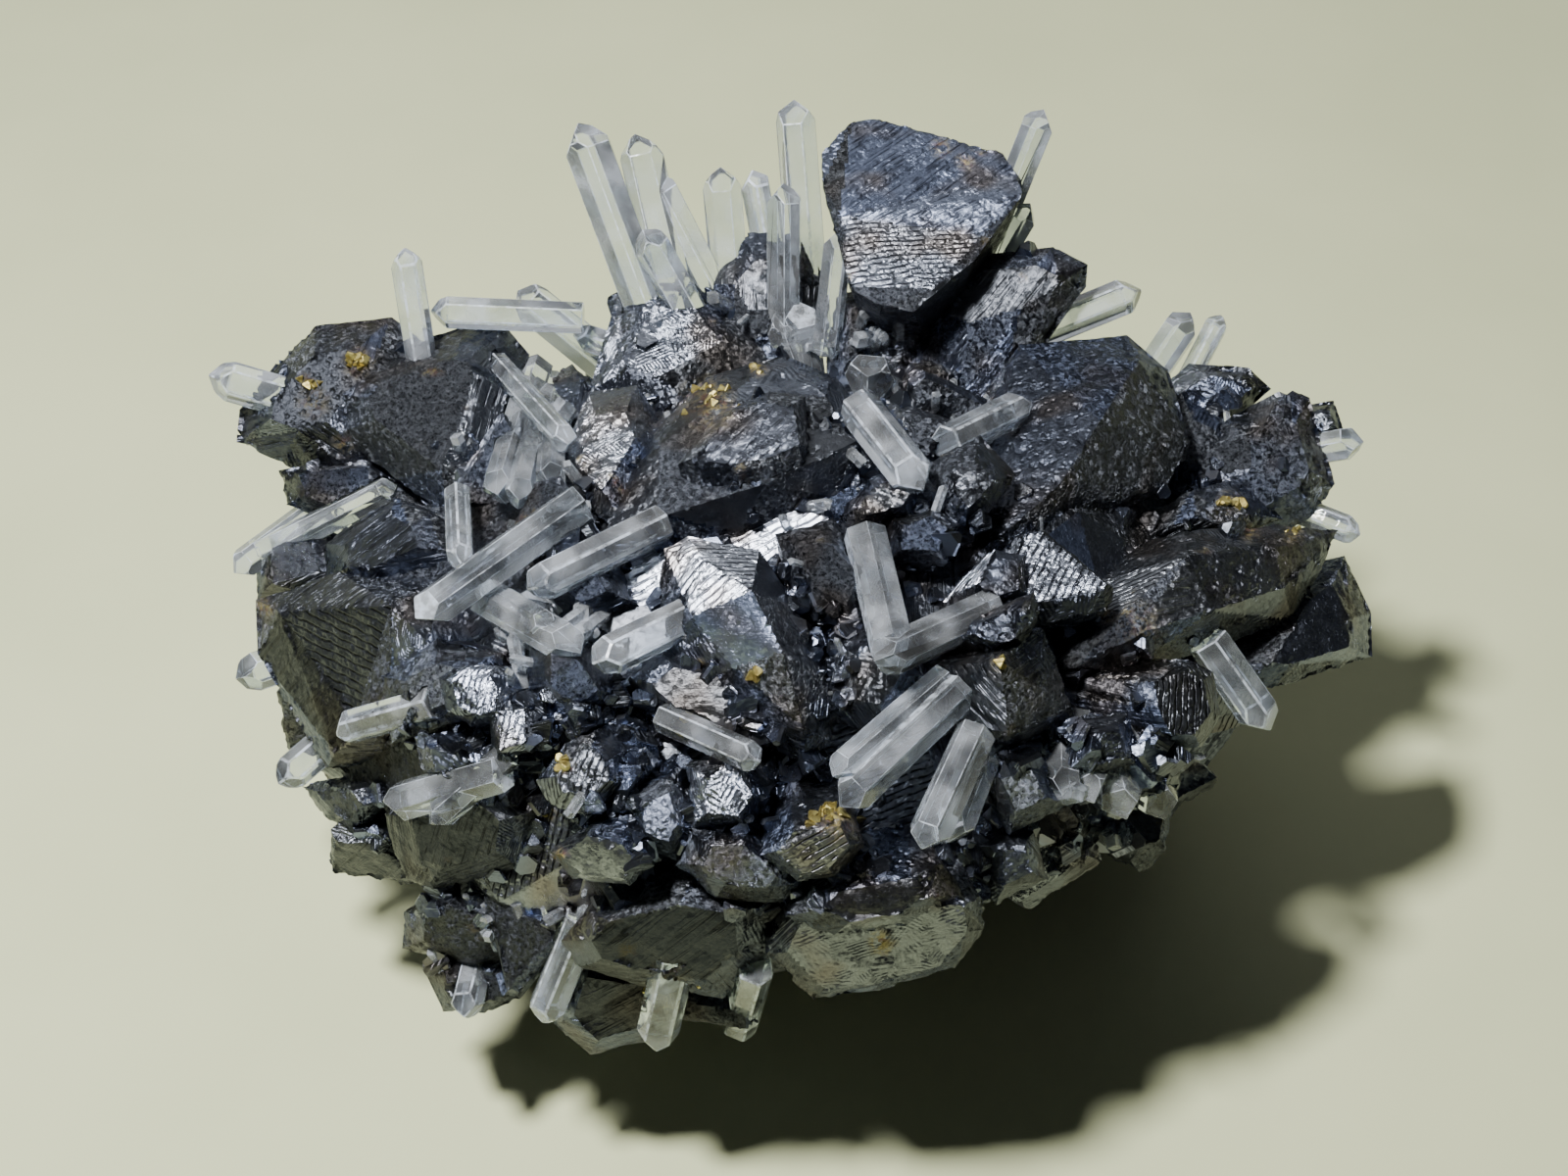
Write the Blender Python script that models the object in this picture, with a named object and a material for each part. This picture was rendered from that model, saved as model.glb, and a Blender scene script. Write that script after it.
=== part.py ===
"""Sphalerite and quartz specimen: a fused mass of dark sphalerite crystals set with clear quartz prisms.

The front of the specimen is laid out on a drawing sheet, seen along a line that looks down at it by
VIEW_ELEVATION. A sheet unit is a tenth of a millimetre at the middle of the mass, x runs to the right and
y runs down. Every other size is in millimetres, and the meshes are in metres.
"""
import math
import random
from dataclasses import dataclass

import bmesh
import bpy
from mathutils import Matrix, Quaternion, Vector

# Driving dimensions, in millimetres
MM = 0.001
LUMP_RADII = Vector((50.0, 37.0, 27.0))
LUMP_CENTRE = Vector((0.0, 0.0, 31.0))
SOCKET_CLEARANCE = 0.32
SEED = 11

# The drawing sheet and the eye that looks at it
SHEET_UNIT = 0.1
SHEET_MIDDLE = (822.0, 688.0)
SHEET_AIM = (800.0, 600.0)
EYE_DISTANCE = 300.0
VIEW_ELEVATION = math.radians(45.0)
RIGHT = Vector((1.0, 0.0, 0.0))
UP = Vector((0.0, math.sin(VIEW_ELEVATION), math.cos(VIEW_ELEVATION)))
TOWARD = Vector((0.0, -math.cos(VIEW_ELEVATION), math.sin(VIEW_ELEVATION)))
AIM = (LUMP_CENTRE
       + RIGHT * (SHEET_AIM[0] - SHEET_MIDDLE[0]) * SHEET_UNIT
       + UP * (SHEET_MIDDLE[1] - SHEET_AIM[1]) * SHEET_UNIT)

# Quartz: the angle between the long axis and the normal of an end face, then shares of the prism's radius
END_FACE_ANGLE = math.radians(51.8)
FLAT_SIDE_REACH = (0.86, 1.0)
OTHER_SIDE_REACH = (0.94, 1.04)
LARGE_END_LIFT = (-0.18, 0.02)
SMALL_END_LIFT = (0.12, 0.35)

# The foot, a plan of the broken matrix that the specimen stands on, and (share of the plan, height) steps
FOOT_TOP = 15.0
FOOT_STEPS = ((0.94, 0.0), (1.06, 6.75), (1.0, FOOT_TOP))
FOOT_PLAN = (
    (-36.0, -9.0), (-20.0, -18.0), (0.0, -13.0), (14.0, -9.0), (26.0, 6.0),
    (34.0, 22.0), (20.0, 30.0), (-20.0, 30.0), (-38.0, 14.0),
)


@dataclass
class Block:
    """A sphalerite crystal: its outline on the sheet, and how far it stands out of the lump.

    The crest is either points (x, y, height above the rim), or one tuple (share of the rim's size,
    height, lean to the right, lean upwards). A level sets the crystal's own distance towards the eye.
    """
    name: str
    rim: tuple
    rise: float
    crest: tuple
    depth: float = 9.0
    level: float = None


@dataclass
class Prism:
    """A quartz crystal: tip and foot as (x, y, height above the lump), width and root in millimetres."""
    tip: tuple
    foot: tuple
    width: float
    root: float = 5.0


# The crown: one large free-standing crystal, as corners (x, y, distance towards the eye)
CROWN_UPPER_FACE = (
    (838, 157, -3.4), (869, 122, -6.6), (895, 121, -6.8), (966, 142, -4.8), (1024, 156, -3.5),
    (1037, 176, -1.6), (1044, 198, 0.4), (1002, 240, 3.2), (857, 220, 3.0), (839, 190, 0.0),
)
CROWN_LOWER_FACE = ((866, 292, 6.0), (898, 314, 6.8), (932, 319, 6.8), (952, 294, 6.2), (994, 266, 4.6))
CROWN_BACK = (
    (872, 140, -13.0), (1010, 168, -12.0), (1030, 215, -11.0), (846, 200, -12.0),
    (880, 300, -11.0), (965, 305, -11.0), (895, 375, -14.0), (960, 380, -14.0),
)

BLOCKS = (
    Block("crown_seat", ((985, 262), (1075, 252), (1110, 270), (1108, 292), (1050, 325), (960, 350),
                         (925, 335)), 0.0, (0.6, 3.0, 0.0, 0.1), 16.0, -3.0),
    Block("back_ridge_left", ((618, 305), (660, 280), (715, 275), (730, 335), (640, 375)),
          0.0, (0.5, 4.0, 0.0, 0.2), 14.0, -8.0),
    Block("back_ridge_middle", ((712, 290), (757, 238), (826, 236), (845, 290), (835, 340), (745, 345)),
          0.0, (0.5, 3.5, 0.0, 0.1), 14.0, -7.0),
    Block("back_ridge_right", ((850, 300), (935, 290), (960, 350), (900, 375), (845, 350)),
          0.0, (0.6, 3.0, 0.0, 0.1), 14.0, -4.0),
    Block("right_ridge", ((1040, 352), (1150, 342), (1193, 379), (1214, 450), (1190, 498), (1130, 517),
                          (1030, 592), (973, 592), (1000, 540), (1040, 465)), 1.5,
          ((1162, 368, 4.5), (1122, 430, 8.5), (1083, 493, 8.5), (1030, 539, 7.0), (982, 580, 3.5)), 12.0),
    Block("right_dome", ((1250, 430), (1270, 417), (1313, 396), (1336, 406), (1362, 494), (1343, 525),
                         (1316, 540), (1254, 492)), 3.0, (0.55, 4.0, 0.1, 0.1), 12.0),
    Block("right_shoulder", ((1213, 371), (1274, 376), (1297, 397), (1272, 419), (1232, 419)),
          1.5, (0.5, 3.0, 0.0, 0.0), 9.0),
    Block("right_back_tooth", ((1330, 414), (1361, 409), (1371, 440), (1345, 456)),
          0.5, (0.5, 3.0, 0.0, 0.0), 9.0),
    Block("right_gap_upper", ((1205, 400), (1250, 420), (1278, 480), (1232, 503), (1188, 482)),
          1.5, (0.5, 3.0, 0.0, 0.1), 8.0),
    Block("right_gap_lower", ((1215, 500), (1270, 488), (1310, 530), (1245, 550), (1196, 536)),
          2.0, (0.5, 3.0, 0.0, 0.1), 8.0),
    Block("long_right", ((1098, 682), (1124, 634), (1154, 587), (1207, 540), (1301, 536), (1367, 541),
                         (1345, 587), (1319, 634), (1262, 652), (1165, 685)), 4.0,
          ((1150, 622, 4.0), (1212, 566, 6.0), (1300, 560, 5.5), (1310, 600, 5.5), (1236, 624, 6.5),
           (1160, 648, 4.5)), 12.0),
    Block("right_corner", ((1301, 643), (1337, 589), (1372, 567), (1399, 625), (1400, 671), (1301, 703),
                           (1272, 698)), 2.5, (0.62, 4.0, 0.0, 0.1), 12.0),
    Block("under_right", ((1165, 687), (1214, 670), (1238, 685), (1246, 730), (1225, 764), (1191, 764),
                          (1172, 724)), 3.0, (0.72, 3.0, 0.0, 0.15), 10.0),
    Block("edge_block", ((966, 680), (1000, 655), (1062, 640), (1078, 676), (1093, 722), (1040, 762),
                         (1006, 764), (966, 730)), 3.0,
          ((1020, 674, 6.0), (1029, 750, 4.5), (1062, 700, 3.5)), 10.0),
    Block("edge_block_top", ((974, 652), (990, 632), (1056, 604), (1062, 622), (1044, 658), (1010, 668)),
          5.5, (0.6, 2.5, 0.0, 0.2), 9.0),
    Block("flash_face", ((985, 600), (1015, 560), (1048, 566), (1048, 606), (1010, 618)),
          3.0, (0.7, 2.0, 0.0, 0.15), 9.0),
    Block("table", ((611, 552), (622, 498), (660, 440), (720, 385), (800, 362), (852, 385), (887, 430),
                    (886, 468), (852, 509), (755, 546), (694, 540)), 2.5,
          ((672, 528, 4.5), (781, 494, 6.5), (874, 450, 5.5), (842, 402, 4.0), (736, 410, 5.0),
           (672, 455, 5.0)), 14.0),
    Block("table_slab", ((690, 474), (733, 420), (785, 399), (822, 404), (826, 456), (791, 472),
                         (745, 482)), 7.0, (0.8, 3.2, 0.0, -0.05), 9.0),
    Block("dome_front", ((575, 462), (600, 400), (650, 393), (668, 440), (640, 484), (611, 528),
                         (580, 496)), 4.0, (0.6, 3.0, -0.1, 0.1), 10.0),
    Block("dome_top", ((600, 402), (628, 305), (655, 284), (702, 272), (737, 305), (778, 355),
                       (722, 388), (660, 420)), 3.5, (0.55, 4.0, 0.0, 0.15), 12.0),
    Block("dome_left", ((549, 386), (584, 372), (602, 385), (592, 427), (572, 432)),
          2.0, (0.6, 2.0, -0.2, 0.0), 8.0),
    Block("left_boulder", ((325, 400), (345, 378), (480, 331), (514, 331), (525, 352), (497, 455),
                           (462, 533), (404, 490), (343, 442)), 2.5, (0.55, 6.5, 0.0, 0.0), 12.0),
    Block("left_shoulder", ((285, 368), (321, 333), (400, 324), (430, 345), (348, 458), (290, 474),
                            (242, 452), (245, 416)), 2.0, (0.55, 4.5, -0.1, 0.05), 12.0),
    Block("left_wedge", ((284, 480), (322, 474), (398, 468), (400, 488), (330, 512), (292, 516)),
          2.0, (0.6, 3.0, 0.0, 0.0), 9.0),
    Block("left_striated", ((330, 556), (405, 503), (437, 524), (450, 560), (414, 576), (373, 594),
                            (332, 592)), 3.0, (0.6, 3.0, 0.0, 0.1), 9.0),
    Block("left_side", ((262, 545), (330, 540), (345, 590), (262, 612)),
          1.0, (0.6, 3.0, 0.0, 0.1), 9.0),
    Block("left_corner", ((261, 612), (345, 583), (450, 600), (482, 650), (432, 720), (388, 768),
                          (332, 787), (263, 668)), 3.0,
          ((284, 624, 2.5), (400, 618, 6.0), (436, 656, 6.0), (398, 722, 5.0), (342, 768, 2.5)), 13.0),
    Block("spear", ((671, 671), (677, 560), (701, 546), (775, 560), (812, 620), (852, 697), (848, 757),
                    (820, 780), (742, 745), (716, 708)), 2.5,
          ((719, 572, 5.0), (767, 603, 8.0), (706, 630, 5.0), (798, 665, 8.0), (819, 742, 5.0),
           (749, 681, 5.0)), 12.0),
    Block("spear_flank", ((632, 690), (672, 660), (745, 676), (792, 753), (740, 756), (690, 740)),
          2.0, (0.6, 3.0, -0.1, 0.0), 9.0),
    Block("granular_upper", ((790, 545), (850, 528), (905, 590), (880, 650), (815, 612)),
          3.0, (0.5, 3.5, 0.0, 0.0), 9.0),
    Block("granular_lower", ((850, 650), (905, 610), (945, 690), (905, 755), (856, 740)),
          2.0, (0.5, 3.5, 0.1, 0.0), 9.0),
    Block("cup_cheek", ((547, 796), (575, 759), (606, 744), (634, 765), (640, 802), (602, 833),
                        (560, 822)), 4.0, (0.6, 3.0, 0.0, 0.1), 9.0),
    Block("lip", ((561, 870), (597, 845), (640, 857), (663, 884), (643, 904), (584, 898)),
          5.0, (0.75, 2.6, 0.0, -0.2), 9.0),
    Block("keel", ((573, 960), (600, 930), (700, 907), (780, 921), (786, 975), (737, 1020), (640, 1002),
                   (588, 986)), 4.5, (0.7, 4.0, 0.05, 0.0), 12.0),
    Block("keel_toe", ((583, 985), (564, 1044), (602, 1076), (658, 1062), (692, 1032), (690, 1002),
                       (640, 992)), 3.5, (0.7, 3.0, 0.0, -0.1), 12.0),
    Block("mirror", ((782, 973), (800, 934), (925, 924), (1002, 915), (1006, 947), (973, 989),
                     (896, 1010), (828, 1021)), 4.5, (0.82, 2.4, 0.0, -0.25), 12.0),
    Block("mirror_roof", ((800, 935), (830, 905), (900, 890), (960, 880), (985, 915), (925, 945),
                          (850, 955)), 5.0, (0.6, 2.5, 0.0, 0.15), 10.0),
    Block("brow", ((775, 872), (800, 842), (868, 832), (882, 860), (852, 895), (812, 901)),
          6.0, (0.7, 2.8, 0.0, -0.2), 10.0),
    Block("brow_left", ((690, 882), (705, 849), (760, 848), (800, 878), (818, 905), (800, 922),
                        (730, 917)), 4.0, (0.6, 3.0, 0.0, -0.05), 10.0),
    Block("chin", ((700, 780), (760, 762), (785, 815), (762, 850), (705, 846)),
          3.0, (0.55, 3.5, 0.0, 0.1), 9.0),
    Block("chin_left", ((636, 812), (690, 786), (706, 846), (690, 878), (645, 862)),
          3.0, (0.55, 3.0, 0.0, 0.1), 9.0),
    Block("cup_left", ((393, 830), (440, 799), (500, 799), (537, 830), (532, 886), (440, 910),
                       (408, 896)), 3.0, (0.6, 3.5, 0.0, 0.0), 10.0),
    Block("cup_low", ((410, 968), (412, 930), (450, 904), (500, 930), (522, 976), (490, 997)),
          2.0, (0.6, 3.5, 0.0, -0.1), 10.0),
    Block("cup_toe", ((430, 984), (452, 1031), (495, 1034), (530, 1020), (520, 985)),
          1.5, (0.6, 3.0, 0.0, -0.1), 10.0),
    Block("left_heel", ((307, 802), (332, 795), (363, 800), (385, 824), (362, 852), (333, 832)),
          1.0, (0.6, 3.0, -0.1, -0.1), 9.0),
    Block("left_slope", ((388, 690), (445, 650), (505, 668), (470, 735), (400, 760)),
          2.0, (0.5, 3.0, 0.0, 0.1), 9.0),
    Block("bright_step", ((448, 692), (470, 679), (507, 679), (522, 702), (515, 737), (480, 742),
                          (455, 727)), 4.0, (0.65, 2.6, 0.0, 0.2), 9.0),
    Block("bright_step_low", ((498, 716), (542, 713), (544, 765), (503, 781)),
          3.5, (0.65, 2.4, 0.0, 0.2), 9.0),
    Block("left_ledge", ((422, 752), (497, 772), (500, 796), (462, 809), (430, 788)),
          3.0, (0.65, 2.4, 0.0, 0.1), 9.0),
    Block("saddle_left", ((540, 640), (600, 655), (640, 715), (590, 750), (540, 705)),
          2.5, (0.5, 3.5, -0.1, 0.1), 9.0),
    Block("saddle_upper", ((556, 548), (612, 556), (645, 615), (592, 640), (552, 600)),
          1.5, (0.5, 3.0, 0.0, 0.0), 9.0),
    Block("middle_ledge", ((856, 527), (885, 488), (907, 478), (948, 500), (932, 524), (870, 534)),
          3.0, (0.6, 2.5, 0.0, 0.0), 9.0),
    Block("middle_tooth", ((948, 470), (1000, 443), (1038, 485), (1015, 517), (985, 542), (953, 510)),
          4.0, (0.5, 3.5, 0.0, 0.0), 9.0),
    Block("middle_slab", ((900, 405), (989, 434), (1001, 453), (953, 464), (910, 440)),
          3.0, (0.6, 2.5, 0.0, 0.1), 9.0),
    Block("middle_block", ((923, 386), (928, 361), (950, 343), (985, 355), (1000, 372), (996, 388),
                           (955, 392)), 4.0, (0.55, 2.5, 0.0, 0.1), 9.0),
    Block("striated_step", ((908, 530), (953, 517), (981, 536), (965, 572), (908, 568)),
          2.5, (0.65, 2.5, 0.0, 0.1), 9.0),
    Block("druse_upper", ((1086, 738), (1150, 728), (1172, 785), (1110, 800)),
          2.0, (0.5, 3.0, 0.0, 0.1), 9.0),
    Block("druse_left", ((998, 785), (1060, 765), (1092, 822), (1030, 852)),
          2.0, (0.5, 3.0, 0.0, 0.0), 9.0),
    Block("druse_low", ((1006, 860), (1056, 846), (1070, 898), (1016, 922)),
          1.0, (0.5, 3.0, 0.0, -0.1), 9.0),
    Block("druse_right", ((1160, 765), (1214, 770), (1196, 826), (1140, 822)),
          0.5, (0.5, 3.0, 0.1, -0.1), 9.0),
)

QUARTZ = {
    "quartz_left_long": (Prism((213, 383, 6.0), (330, 417, 2.0), 4.0),),
    "quartz_left_upright": (Prism((412, 252, 14.0), (425, 335, 8.5), 3.0, 7.0),),
    "quartz_left_lying": (
        Prism((405, 495, 4.0), (305, 545, 2.5), 3.0),
        Prism((238, 583, 3.0), (310, 530, 0.0), 2.8),
    ),
    "quartz_left_stub": (Prism((240, 692, 2.0), (300, 672, 0.0), 3.6),),
    "quartz_left_shard": (Prism((284, 800, 2.0), (330, 760, 0.5), 3.4),),
    "quartz_left_shelf": (Prism((345, 745, 4.5), (405, 728, 2.5), 3.0),),
    "quartz_left_glassy": (
        Prism((393, 822, 5.5), (470, 800, 3.5), 3.4),
        Prism((440, 840, 6.0), (480, 805, 4.0), 2.4),
    ),
    "quartz_top_sheaf": (
        Prism((590, 127, 14.0), (640, 260, 8.0), 5.0, 9.0),
        Prism((650, 137, 13.5), (678, 262, 8.0), 4.2, 8.0),
        Prism((655, 235, 14.0), (695, 305, 8.5), 3.4, 7.0),
        Prism((665, 180, 12.0), (715, 275, 6.0), 3.6, 9.0),
        Prism((735, 170, 11.5), (745, 300, 3.5), 3.8, 9.0),
    ),
    "quartz_top_back": (Prism((768, 173, 9.5), (785, 262, 4.0), 3.0, 8.0),),
    "quartz_top_tall": (Prism((810, 100, 13.5), (822, 262, 5.5), 4.0, 8.0),),
    "quartz_top_bright": (
        Prism((800, 188, 15.0), (800, 300, 8.5), 3.4, 6.0),
        Prism((812, 306, 9.0), (818, 350, 5.5), 4.0),
        Prism((792, 318, 8.5), (806, 356, 5.5), 3.2),
    ),
    "quartz_top_slender": (Prism((857, 235, 16.5), (845, 340, 8.5), 2.6, 2.0),),
    "quartz_crown_wand": (
        Prism((1065, 112, 14.0), (1032, 195, 10.0), 3.6, 10.0),
        Prism((1050, 208, 12.0), (1018, 262, 7.5), 3.0, 5.0),
    ),
    "quartz_right_finger": (Prism((1165, 295, 5.0), (1050, 342, 5.0), 3.8, 6.0),),
    "quartz_right_pencil": (Prism((1040, 320, 9.5), (965, 355, 7.5), 3.0, 5.0),),
    "quartz_right_horn": (Prism((1215, 320, 1.0), (1180, 372, 0.5), 3.6, 6.0),),
    "quartz_right_spike": (Prism((1246, 322, -0.5), (1216, 380, -0.5), 2.2, 6.0),),
    "quartz_right_knob": (Prism((1392, 450, 3.5), (1345, 458, 1.5), 3.2),),
    "quartz_right_bud": (Prism((1388, 545, 2.0), (1350, 530, 1.0), 2.6),),
    "quartz_pointer": (Prism((425, 632, 9.5), (540, 550, 5.0), 3.6, 6.0),),
    "quartz_pointer_second": (Prism((538, 602, 7.5), (622, 560, 3.5), 3.4, 6.0),),
    "quartz_pointer_low": (Prism((603, 678, 8.5), (690, 635, 4.5), 3.4, 6.0),),
    "quartz_sheaf": (
        Prism((592, 667, 5.0), (518, 624, 1.5), 4.0, 3.0),
        Prism((562, 642, 5.5), (520, 616, 1.5), 2.6, 3.0),
    ),
    "quartz_comb": (
        Prism((508, 505, 4.0), (540, 400, 7.0), 3.4, 5.0),
        Prism((530, 510, 5.0), (556, 410, 7.0), 2.8, 5.0),
        Prism((562, 496, 5.0), (566, 415, 7.0), 3.0, 4.0),
    ),
    "quartz_comb_low": (Prism((470, 575, 4.0), (468, 528, 3.0), 2.6, 4.0),),
    "quartz_comb_cross": (Prism((580, 452, 8.0), (520, 385, 10.0), 2.4, 4.0),),
    "quartz_boulder_bar": (Prism((440, 318, 7.0), (535, 322, 7.0), 3.0, 6.0),),
    "quartz_dome_bud": (Prism((585, 342, 3.0), (618, 352, 3.0), 2.8, 3.0),),
    "quartz_gem_row": (
        Prism((950, 322, 9.0), (888, 345, 6.5), 3.2, 2.5),
        Prism((934, 308, 7.5), (892, 334, 5.5), 2.6, 2.5),
    ),
    "quartz_blunt": (Prism((884, 384, 8.0), (892, 386, 1.0), 4.6, 3.0),),
    "quartz_box": (Prism((942, 500, 7.0), (895, 440, 7.0), 4.0, 4.0),),
    "quartz_ridge_foot": (Prism((1047, 412, 8.5), (990, 440, 4.5), 3.4, 4.0),),
    "quartz_vee": (
        Prism((916, 682, 7.0), (892, 582, 6.0), 3.8, 4.0),
        Prism((893, 676, 8.0), (972, 640, 4.5), 3.4, 5.0),
    ),
    "quartz_diagonal": (
        Prism((858, 822, 7.0), (958, 726, 4.0), 3.4, 3.0),
        Prism((850, 790, 6.5), (940, 712, 3.5), 2.6, 3.0),
    ),
    "quartz_hanging": (
        Prism((940, 868, 9.0), (985, 770, 4.5), 3.4, 2.5),
        Prism((968, 858, 6.0), (992, 795, 3.0), 3.4, 3.0),
    ),
    "quartz_glint": (Prism((777, 777, 7.0), (712, 748, 4.5), 2.5, 4.0),),
    "quartz_toe_bright": (Prism((553, 1042, 8.5), (578, 980, 4.5), 3.4, 5.0),),
    "quartz_toe_thick": (Prism((668, 1066, 7.5), (682, 1005, 5.5), 3.8, 5.0),),
    "quartz_toe_flake": (Prism((752, 1050, 2.0), (765, 1005, 1.0), 3.6, 5.0),),
    "quartz_cup_drop": (Prism((474, 1036, 6.0), (486, 985, 3.0), 3.0, 5.0),),
    "quartz_druse": (
        Prism((1118, 822, 3.5), (1105, 782, 0.5), 4.2),
        Prism((1150, 838, 3.0), (1138, 790, 0.5), 4.4),
        Prism((1190, 838, 2.5), (1172, 795, 0.0), 4.0),
        Prism((1085, 812, 4.0), (1085, 775, 1.0), 3.2),
    ),
    "quartz_corner_block": (Prism((1296, 745, 2.5), (1268, 705, 0.0), 4.2, 6.0),),
}

# Quartz on the hidden side: (bearing, elevation, length, width, lean) in degrees and millimetres
BACK_QUARTZ = {
    "quartz_back_01": (56.0, 12.0, 12.0, 4.2, 18.0),
    "quartz_back_02": (98.0, 6.0, 11.0, 3.6, -14.0),
    "quartz_back_03": (124.0, 22.0, 13.0, 4.0, 22.0),
    "quartz_back_04": (158.0, -2.0, 10.0, 3.4, -20.0),
    "quartz_back_05": (74.0, 30.0, 12.0, 3.4, 10.0),
    "quartz_back_06": (24.0, 4.0, 10.0, 3.8, 16.0),
}

# Filler crystals between and behind the drawn ones: how many, the inner radius of each, and how far its
# middle lies off the lump
FILLER_COUNT = 72
FILLER_SHOWN = (2.6, 3.6)
FILLER_BACK = (4.4, 6.8)
SHOWN_OFFSET = (-1.5, 0.0)
BACK_OFFSET = (-1.5, 2.0)
LIMB = (-0.45, 0.15)
LOWEST_ON_SHEET = 965.0
LOWEST_MIDDLE = 8.25
FILLER_REACH = 2.1
FLOOR_GAP = 1.0

# A filler crystal's shape, as shares of its inner radius: the four faces, and the cuts across its corners
FACE_REACH = (0.85, 1.05)
CORNER_REACH = (1.25, 2.3)
BLANK_SIDE = 2.7

# Where the lump is pulled in at its lower right
BITE_WAY = (RIGHT * 0.80 - UP * 0.60).normalized()
BITE_START = 0.45
BITE_DEPTH = 0.24

# How much of a drawn crystal's slope follows the lump, and how wide its root is against its rim
BLOCK_SLOPE = 0.55
ROOT_SHARE = 0.7

# Quartz on the hidden side: how far its foot stands off the lump, and how deep it is rooted
BACK_FOOT = 3.0
BACK_ROOT = 5.0

# Tidying of the joined mass: points nearer than this are one, and flatter edges than this go
SAME_POINT = 0.000002
FLAT_EDGE = math.radians(0.8)
MASS_TRIANGLES = 7100


def bitten(way):
    """Return what share of the lump's radius is left in a direction."""
    return 1.0 - BITE_DEPTH * max(way.normalized().dot(BITE_WAY) - BITE_START, 0.0) / (1.0 - BITE_START)


def clear_scene():
    """Remove every object of the scene."""
    for old in list(bpy.data.objects):
        bpy.data.objects.remove(old, do_unlink=True)


def make_material(name, colour, roughness, metallic=0.0, transmission=0.0, ior=1.5):
    """Return a Principled material."""
    material = bpy.data.materials.new(name)
    material.use_nodes = True
    shader = material.node_tree.nodes["Principled BSDF"]
    shader.inputs["Base Color"].default_value = (*colour, 1.0)
    shader.inputs["Roughness"].default_value = roughness
    shader.inputs["Metallic"].default_value = metallic
    shader.inputs["Transmission Weight"].default_value = transmission
    shader.inputs["IOR"].default_value = ior
    material.diffuse_color = (*colour, 1.0)
    return material


def on_sheet(x, y, near):
    """Return the place, in millimetres, that the sheet shows at x, y and that is near towards the eye."""
    spread = SHEET_UNIT * (EYE_DISTANCE - near) / EYE_DISTANCE
    return AIM + RIGHT * (x - SHEET_AIM[0]) * spread + UP * (SHEET_AIM[1] - y) * spread + TOWARD * near


def to_sheet(place):
    """Return where the sheet shows a place, the reverse of on_sheet."""
    offset = place - AIM
    near = offset.dot(TOWARD)
    spread = SHEET_UNIT * (EYE_DISTANCE - near) / EYE_DISTANCE
    return SHEET_AIM[0] + offset.dot(RIGHT) / spread, SHEET_AIM[1] - offset.dot(UP) / spread


def inside_rim(x, y, rim):
    """Tell whether x, y of the sheet lies inside an outline."""
    inside = False
    for (ax, ay), (bx, by) in zip(rim, rim[1:] + rim[:1]):
        if (ay > y) != (by > y) and x < ax + (bx - ax) * (y - ay) / (by - ay):
            inside = not inside
    return inside


def lump_near(x, y):
    """Return how far towards the eye the lump's surface lies at x, y of the sheet, or its limb there."""
    near = 0.0
    across, deep, high = LUMP_RADII
    for _ in range(4):
        place = on_sheet(x, y, near) - LUMP_CENTRE
        s = place.dot(RIGHT)
        t = place.dot(UP)
        a = 0.5 / deep ** 2 + 0.5 / high ** 2
        b = t * (1.0 / high ** 2 - 1.0 / deep ** 2)
        c = (s / across) ** 2 + t * t * a - 1.0
        near = (-b + math.sqrt(max(b * b - 4.0 * a * c, 0.0))) / (2.0 * a)
    return near


def mesh_object(name, bm, material=None):
    """Turn a bmesh in millimetres into an object in metres."""
    bmesh.ops.scale(bm, vec=(MM, MM, MM), verts=bm.verts)
    bmesh.ops.recalc_face_normals(bm, faces=bm.faces)
    mesh = bpy.data.meshes.new(name)
    bm.to_mesh(mesh)
    bm.free()
    obj = bpy.data.objects.new(name, mesh)
    bpy.context.scene.collection.objects.link(obj)
    if material:
        mesh.materials.append(material)
    return obj


def hull_object(name, points):
    """Return the convex solid of a list of points."""
    bm = bmesh.new()
    for point in points:
        bm.verts.new(point)
    bmesh.ops.convex_hull(bm, input=bm.verts)
    loose = [v for v in bm.verts if not v.link_faces]
    bmesh.ops.delete(bm, geom=loose, context="VERTS")
    bmesh.ops.dissolve_limit(bm, angle_limit=math.radians(3.0), verts=bm.verts, edges=bm.edges)
    return mesh_object(name, bm)


def rim_plane(block):
    """Return the middle of a block's rim and the plane (near, per x, per y) that the lump gives it."""
    count = len(block.rim)
    cx = sum(p[0] for p in block.rim) / count
    cy = sum(p[1] for p in block.rim) / count
    if block.level is not None:
        return cx, cy, (block.level, 0.0, 0.0)
    nears = [lump_near(x, y) for x, y in block.rim]
    mean = sum(nears) / count
    sxx = sum((x - cx) ** 2 for x, _ in block.rim)
    syy = sum((y - cy) ** 2 for _, y in block.rim)
    sxy = sum((x - cx) * (y - cy) for x, y in block.rim)
    sxn = sum((x - cx) * (n - mean) for (x, _), n in zip(block.rim, nears))
    syn = sum((y - cy) * (n - mean) for (_, y), n in zip(block.rim, nears))
    det = sxx * syy - sxy * sxy
    per_x = BLOCK_SLOPE * (sxn * syy - syn * sxy) / det
    per_y = BLOCK_SLOPE * (syn * sxx - sxn * sxy) / det
    return cx, cy, (mean, per_x, per_y)


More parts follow.
